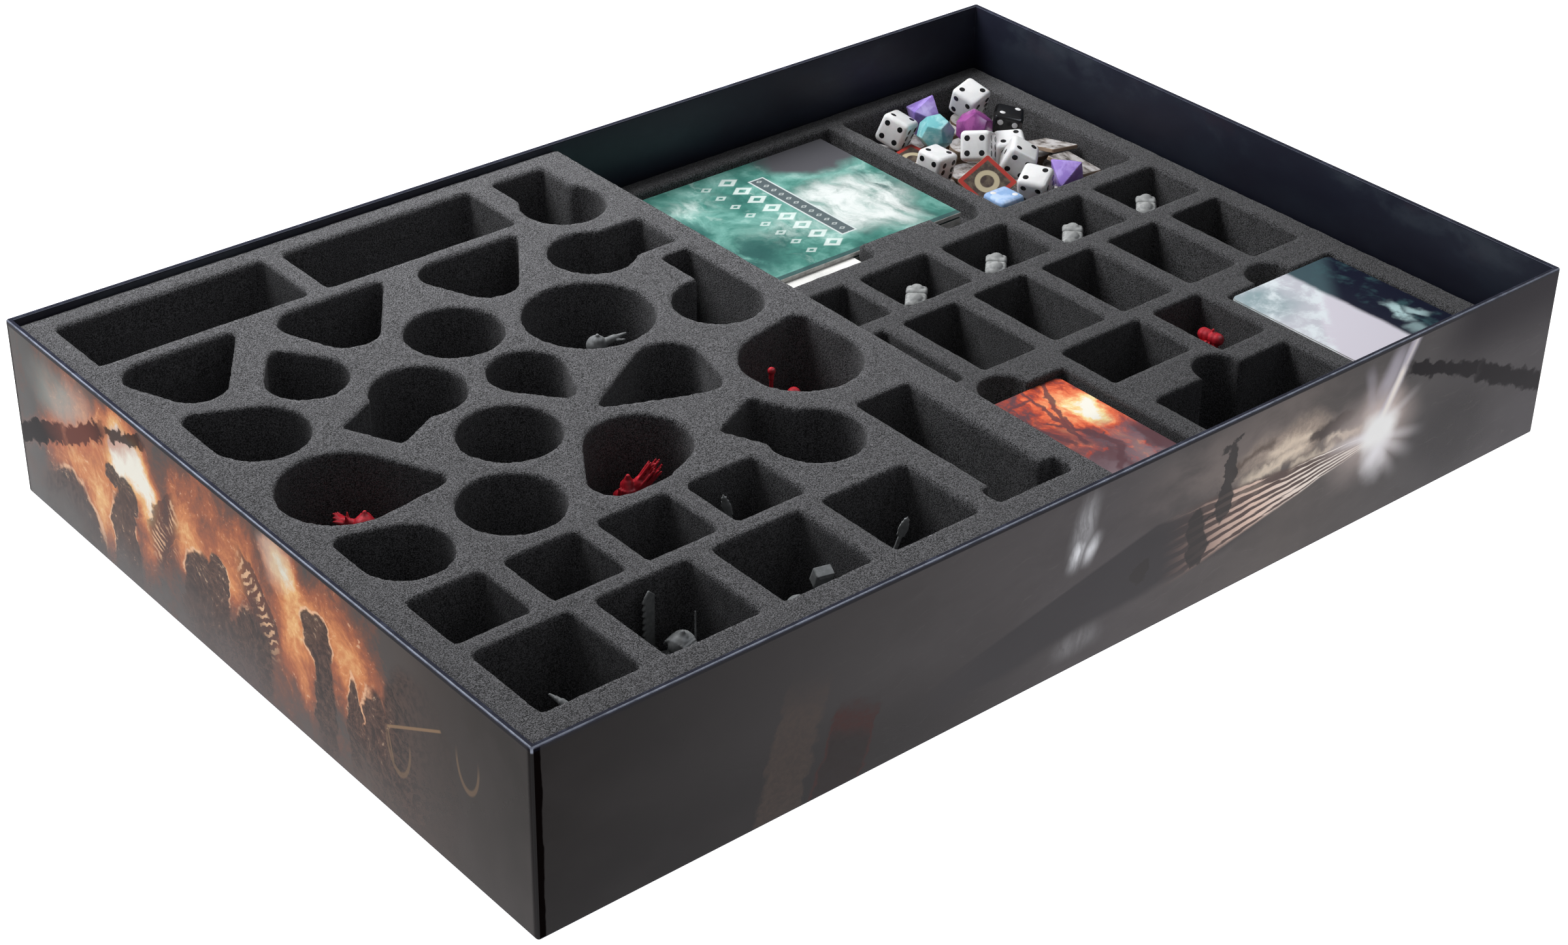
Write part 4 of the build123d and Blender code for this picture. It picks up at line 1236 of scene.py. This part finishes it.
def add_tool(bm, kind):
    """What a figure holds at +X, and the arm that holds it."""
    if kind == "staff":
        capsule(bm, (10, 0, 2.5), (10, 0, 42.5), 1.0, 0.9)
        capsule(bm, (10, 0, 43), (10, 0, 43.1), 1.8, 1.8)
        for height in (39.5, 40.8):
            capsule(bm, (10, 0, height), (10, 0, height + 0.1), 1.25, 1.25)
        capsule(bm, (3.5, 0, 25), (9.6, 0, 27), 2.1, 1.5)
    elif kind == "sword":
        block(bm, (16.5, -0.4, 31), (1.3, 5.0, 26))
        block(bm, (16.5, 0, 44.2), (1.2, 3.6, 3.6), (45, 0, 0))
        for i in range(8):
            block(bm, (16.5, 2.1, 21.5 + 3 * i), (1.2, 2.4, 2.4), (35, 0, 0))
        block(bm, (16.5, 0, 18), (2.4, 8, 1.6))
        capsule(bm, (16.5, 0, 13.4), (16.5, 0, 18), 1.1, 1.1)
        capsule(bm, (3, 1, 24), (10, 0.6, 19.5), 2.3, 1.8)
        capsule(bm, (10, 0.6, 19.5), (16.1, 0.4, 15.8), 1.8, 1.5)
        capsule(bm, (0, -8.4, 2.5), (0.5, -8.8, 40), 0.6, 0.4)
        for i in range(26):
            across = -7.5 + 0.6 * i
            bulge = math.sqrt(1 - (across / 8.6) ** 2)
            high = 25.5 + 8.6 * bulge + 0.5 * (i % 2)
            crown = (across * 0.9, -3.8 * bulge, high - 1.6)
            capsule(bm, (across, -7.4 * bulge, 24.5), crown, 0.55, 0.75)
            capsule(bm, crown, (across * 0.9, 3.4 * bulge, high - 2.6), 0.75, 0.7)
    elif kind == "hammer":
        capsule(bm, (10, 0, 8), (10, 0, 40), 1.1, 1.1)
        block(bm, (10, 0, 41), (7.6, 4.8, 7.8), (25, 0, 0))
        block(bm, (10, 0, 41), (5.6, 5.6, 5.6), (25, 0, 0))
        capsule(bm, (3, 1, 25), (9.5, 0, 24), 2.3, 1.7)
    elif kind == "spear":
        lean = Vector((math.sin(math.radians(16)), 0, math.cos(math.radians(16))))
        foot = Vector((3, 0, 3))
        capsule(bm, foot, foot + lean * 35, 0.9, 0.9)
        for reach, width in ((35.5, 3.4), (37.5, 3.9), (39.5, 3.3), (41.3, 2.3)):
            block(bm, foot + lean * reach, (width, 1.4, 2.6), (0, 16, 0))
        capsule(bm, foot + lean * 36, foot + lean * 43.4, 0.9, 0.4)
        capsule(bm, (2, 1, 25), foot + lean * 22, 2.1, 1.5)
    elif kind == "sheaf":
        axis = Vector((math.sin(math.radians(35)), 0, math.cos(math.radians(35))))
        side = Vector((axis.z, 0, -axis.x))
        foot = Vector((1, 0, 24))
        for i in range(17):
            angle = i * 2.4
            spread = math.sqrt(i / 17)
            off = side * math.cos(angle) * spread + Vector((0, math.sin(angle) * spread, 0))
            length = 20.3 - 3.5 * abs(math.sin(3.7 * i))
            capsule(bm, foot + off * 2.6, foot + axis * length + off * 4.1, 0.75, 0.5)
        capsule(bm, foot + axis * 6, foot + axis * 8, 3.5, 3.5)
    elif kind == "pointing":
        capsule(bm, (2, 0, 29.5), (8, 0, 31.8), 2.2, 1.6)
        capsule(bm, (8, 0, 31.8), (13.4, 0, 33.2), 1.3, 0.6)
        capsule(bm, (9, -1.6, 31.2), (12.2, -2.2, 31.4), 0.7, 0.5)
    elif kind == "claw":
        capsule(bm, (2, 0, 29.0), (9, 0, 30.4), 2.2, 1.7)
        for i in range(-2, 3):
            capsule(bm, (9, i, 30.4), (12.6 - 0.4 * abs(i), 1.7 * i, 33.6 - 0.8 * abs(i)), 1.0, 0.5)
        for i in (-1, 1):
            capsule(bm, (7, i, 31), (7.4, 1.6 * i, 33.6), 0.8, 0.4)
    elif kind == "log":
        capsule(bm, (5, -4.4, 35.4), (5, 4.4, 35.4), 2.6, 2.6)
        for place in (-4.0, -1.8, 1.8, 4.0):
            capsule(bm, (5, place, 35.4), (5, place + 0.1, 35.4), 3.1, 3.1)
        capsule(bm, (1, 4.5, 27), (4.5, 3.5, 33.5), 1.9, 1.5)
        capsule(bm, (1, -4.5, 27), (4.5, -3.5, 33.5), 1.9, 1.5)
        capsule(bm, (5, -1, 35.3), (5, -1, 39.4), 0.9, 0.7)
    elif kind == "broad":
        for side in (-1, 1):
            capsule(bm, (side * 4.6, 0, 35.4), (side * 5.8, 0, 34.4), 4.1, 3.9)
            for i in range(4):
                reach, height = side * (2.2 + 1.9 * i), 36.4 - 0.5 * i
                capsule(bm, (reach, -3.4, height), (reach, 3.4, height), 1.9, 1.9)
            capsule(bm, (side * 8.4, 0, 33), (side * 8.8, -2.2, 26), 1.7, 1.2)


def figure_mesh(kind):
    """A cloaked playing figure on a round base. It faces +Y, and what it holds is at +X."""
    bm = bmesh.new()
    robe(bm, ((12.0, 0.0), (12.4, 0.5), (12.1, 2.2), (11.7, 2.9), (9.0, 3.1), (0.5, 3.2)), 0.0)
    waist = 4.0 if kind == "broad" else 5.4
    robe(
        bm,
        (
            (8.6, 2.4), (7.9, 5.0), (7.0, 9.0), (6.2, 13.5), (waist, 18.5), (waist + 0.3, 21.5),
            (waist + 0.5, 24.5), (4.4, 26.6), (1.0, 28.5),
        ),
        0.13,
    )
    if kind != "broad":
        capsule(bm, (-3.4, 0, 24.4), (3.4, 0, 24.4), 3.1, 3.1)
        size = 0.72 if kind == "sheaf" else 1.0
        if kind == "staff":
            capsule(bm, (0, 0.4, 29.0), (0, 0, 32.6), 4.9, 3.2)
        else:
            capsule(bm, (0, 0.4, 29.0), (0, -0.8, 34.6), 4.9 * size, 1.0)
        capsule(bm, (0, -0.8, 31.2), (0, -4.0, 26.6), 3.2 * size, 2.2)
        capsule(bm, (0, 2.2, 29.0), (0, 3.4, 27.6), 2.6 * size, 1.8)
        for i in range(-3, 4):
            capsule(bm, (i * 1.15, -4.4 + 0.25 * i * i, 29), (i * 1.75, -5.6 + 0.3 * i * i, 12), 0.75, 0.9)
        capsule(bm, (-4.6, 0.4, 23.8), (-3.4, 4.4, 17.5), 2.0, 1.5)
    else:
        capsule(bm, (0, 2.2, 31), (0, 3.2, 29.6), 2.9, 2.5)
    add_tool(bm, kind)
    piece = link(f"{kind}_shape", mesh_from(f"{kind}_shape", bm))
    remeshed(piece, 0.36 * MM)
    relax = piece.modifiers.new("relax", "SMOOTH")
    relax.iterations = 1
    apply_modifiers(piece)
    mesh = piece.data
    bpy.data.objects.remove(piece)
    mesh.polygons.foreach_set("use_smooth", [True] * len(mesh.polygons))
    return mesh


def tool_heading(points, middle):
    """Which way a figure holds its tool: to its highest points, or else to its widest above the waist."""
    top = max(p.z for p in points)
    foot = min(p.z for p in points)
    high = [p - middle for p in points if p.z > foot + 0.93 * (top - foot)]
    heading = sum(high, Vector()) / len(high)
    if heading.xy.length < 2 * MM:
        heading = max((p - middle for p in points if p.z > foot + 28 * MM), key=lambda away: away.xy.length)
    return math.atan2(heading.y, heading.x)


RED_PLASTIC = figure_material("red_plastic", (0.46, 0.014, 0.026))
GREY_PLASTIC = figure_material("grey_plastic", (0.22, 0.23, 0.235))
PALE_PLASTIC = figure_material("pale_grey_plastic", (0.34, 0.35, 0.35))

# The kinds of figure in each CAD node, from left to right
for node, body, slot, material, kinds in (
    ("red_pawns_upper", "upper_red_pawns", "red_plastic", RED_PLASTIC, ("claw", "sheaf", "staff")),
    (
        "grey_pawns_upper", "upper_grey_pawns", "grey_plastic", GREY_PLASTIC,
        ("pointing", "sword", "hammer", "spear", "spear", "pointing"),
    ),
    ("red_pawn_right", "right_red_pawn", "red_plastic", RED_PLASTIC, ("log",)),
    ("grey_pawns_right", "right_grey_pawns", "grey_plastic", PALE_PLASTIC, ("broad",) * 4),
):
    solids = [points for points, _ in loose_parts(node)]
    feet = []
    for points in solids:
        foot = min(p.z for p in points)
        rim = [p for p in points if p.z < foot + 0.01 * MM]
        feet.append(sum(rim, Vector()) / len(rim))
    order = sorted(range(len(solids)), key=lambda i: feet[i].x)
    for kind, i in zip(kinds, order):
        name = f"{node}_{kind}_{i + 1}"
        piece = link(name, figure_mesh(kind))
        wear(piece, material)
        turn = Matrix.Rotation(tool_heading(solids[i], feet[i]), 4, "Z")
        piece.matrix_world = Matrix.Translation(feet[i]) @ turn
        finish_piece(piece, body, slot, node)

# ---------------------------------------------------------------- floor, light and camera


def build_floor():
    """A plain pale floor under the box."""
    bm = bmesh.new()
    bmesh.ops.create_grid(bm, x_segments=2, y_segments=2, size=6.0)
    floor = link("floor", mesh_from("floor", bm))
    paint = Paint("floor_paper")
    tone = paint.noise(paint.place, 2.0, 2.0)
    pale = paint.mix(tone, (0.5, 0.5, 0.5), (0.52, 0.52, 0.52))
    glow = dict(Emission_Color=(1, 1, 1, 1), Emission_Strength=1.2)
    wear(floor, paint.finish(pale, 0.9, Specular_IOR_Level=0.0, **glow))
    floor.visible_glossy = False


def area_light(name, place, target, size, power, color=(1, 1, 1)):
    """A soft rectangular lamp that looks at a point."""
    lamp = bpy.data.lights.new(name, "AREA")
    lamp.shape = "RECTANGLE"
    lamp.size, lamp.size_y = size
    lamp.energy = power
    lamp.color = color
    holder = bpy.data.objects.new(name, lamp)
    scene.collection.objects.link(holder)
    holder.location = place
    holder.rotation_euler = (Vector(target) - Vector(place)).to_track_quat("-Z", "Y").to_euler()
    return holder


def build_world():
    """White to the eye, bright above and dark below for reflections."""
    world = bpy.data.worlds.new("studio")
    scene.world = world
    world.use_nodes = True
    world.cycles.sampling_method = "NONE"
    tree = world.node_tree
    tree.nodes.clear()
    output, backdrop, studio, place, split, ramp, rays, mix = [
        tree.nodes.new(f"ShaderNode{kind}") for kind in (
            "OutputWorld", "Background", "Background", "TexCoord", "SeparateXYZ", "ValToRGB", "LightPath",
            "MixShader",
        )
    ]
    backdrop.inputs["Strength"].default_value = 1.0
    backdrop.inputs["Color"].default_value = (1, 1, 1, 1)
    studio.inputs["Strength"].default_value = 0.22
    stops = ramp.color_ramp.elements
    stops[0].position, stops[0].color = 0.0, (1.8, 1.76, 1.82, 1)
    stops[1].position, stops[1].color = 0.6, (1, 1, 1, 1)
    stops.new(0.06).color = (0.3, 0.3, 0.33, 1)
    for start, end in (
        (place.outputs["Generated"], split.inputs[0]), (split.outputs[2], ramp.inputs[0]),
        (ramp.outputs[0], studio.inputs["Color"]), (rays.outputs["Is Camera Ray"], mix.inputs[0]),
        (studio.outputs[0], mix.inputs[1]), (backdrop.outputs[0], mix.inputs[2]),
        (mix.outputs[0], output.inputs["Surface"]),
    ):
        tree.links.new(start, end)


CAMERA_PLACE = (-0.7398, -0.8529, 0.6963)


def build_camera():
    """The view: from the front left, 32 degrees above the table."""
    azimuth = math.radians(-40.58)
    elevation = math.radians(31.92)
    roll = math.radians(1.225)
    level = math.cos(elevation)
    back = Vector((math.sin(azimuth) * level, -math.cos(azimuth) * level, math.sin(elevation)))
    right = Vector((0, 0, 1)).cross(back).normalized()
    up = back.cross(right)
    side = right * math.cos(roll) + up * math.sin(roll)
    top = up * math.cos(roll) - right * math.sin(roll)
    camera = bpy.data.cameras.new("camera")
    camera.sensor_width = 36.0
    camera.lens = 65.7
    camera.clip_start = 0.05
    camera.clip_end = 50
    holder = bpy.data.objects.new("camera", camera)
    scene.collection.objects.link(holder)
    placement = Matrix((side, top, back)).transposed().to_4x4()
    placement.translation = CAMERA_PLACE
    holder.matrix_world = placement
    scene.camera = holder


build_floor()
build_world()
build_camera()
area_light("softbox", (-0.04, 0.49, 0.7), (0.0, 0.05, 0.05), (0.7, 0.45), 10.5).visible_glossy = False
for name, place, target in (
    ("front_rim_light", (0.65, -0.42, 0.9), (0.65, -0.2, 0.08)),
    ("left_rim_light", (-0.58, 0.8, 0.76), (-0.25, 0.8, 0.05)),
):
    area_light(name, place, target, (1.1, 0.22), 5, (0.8, 0.88, 1.0)).visible_diffuse = False
scene.view_settings.view_transform = "Standard"
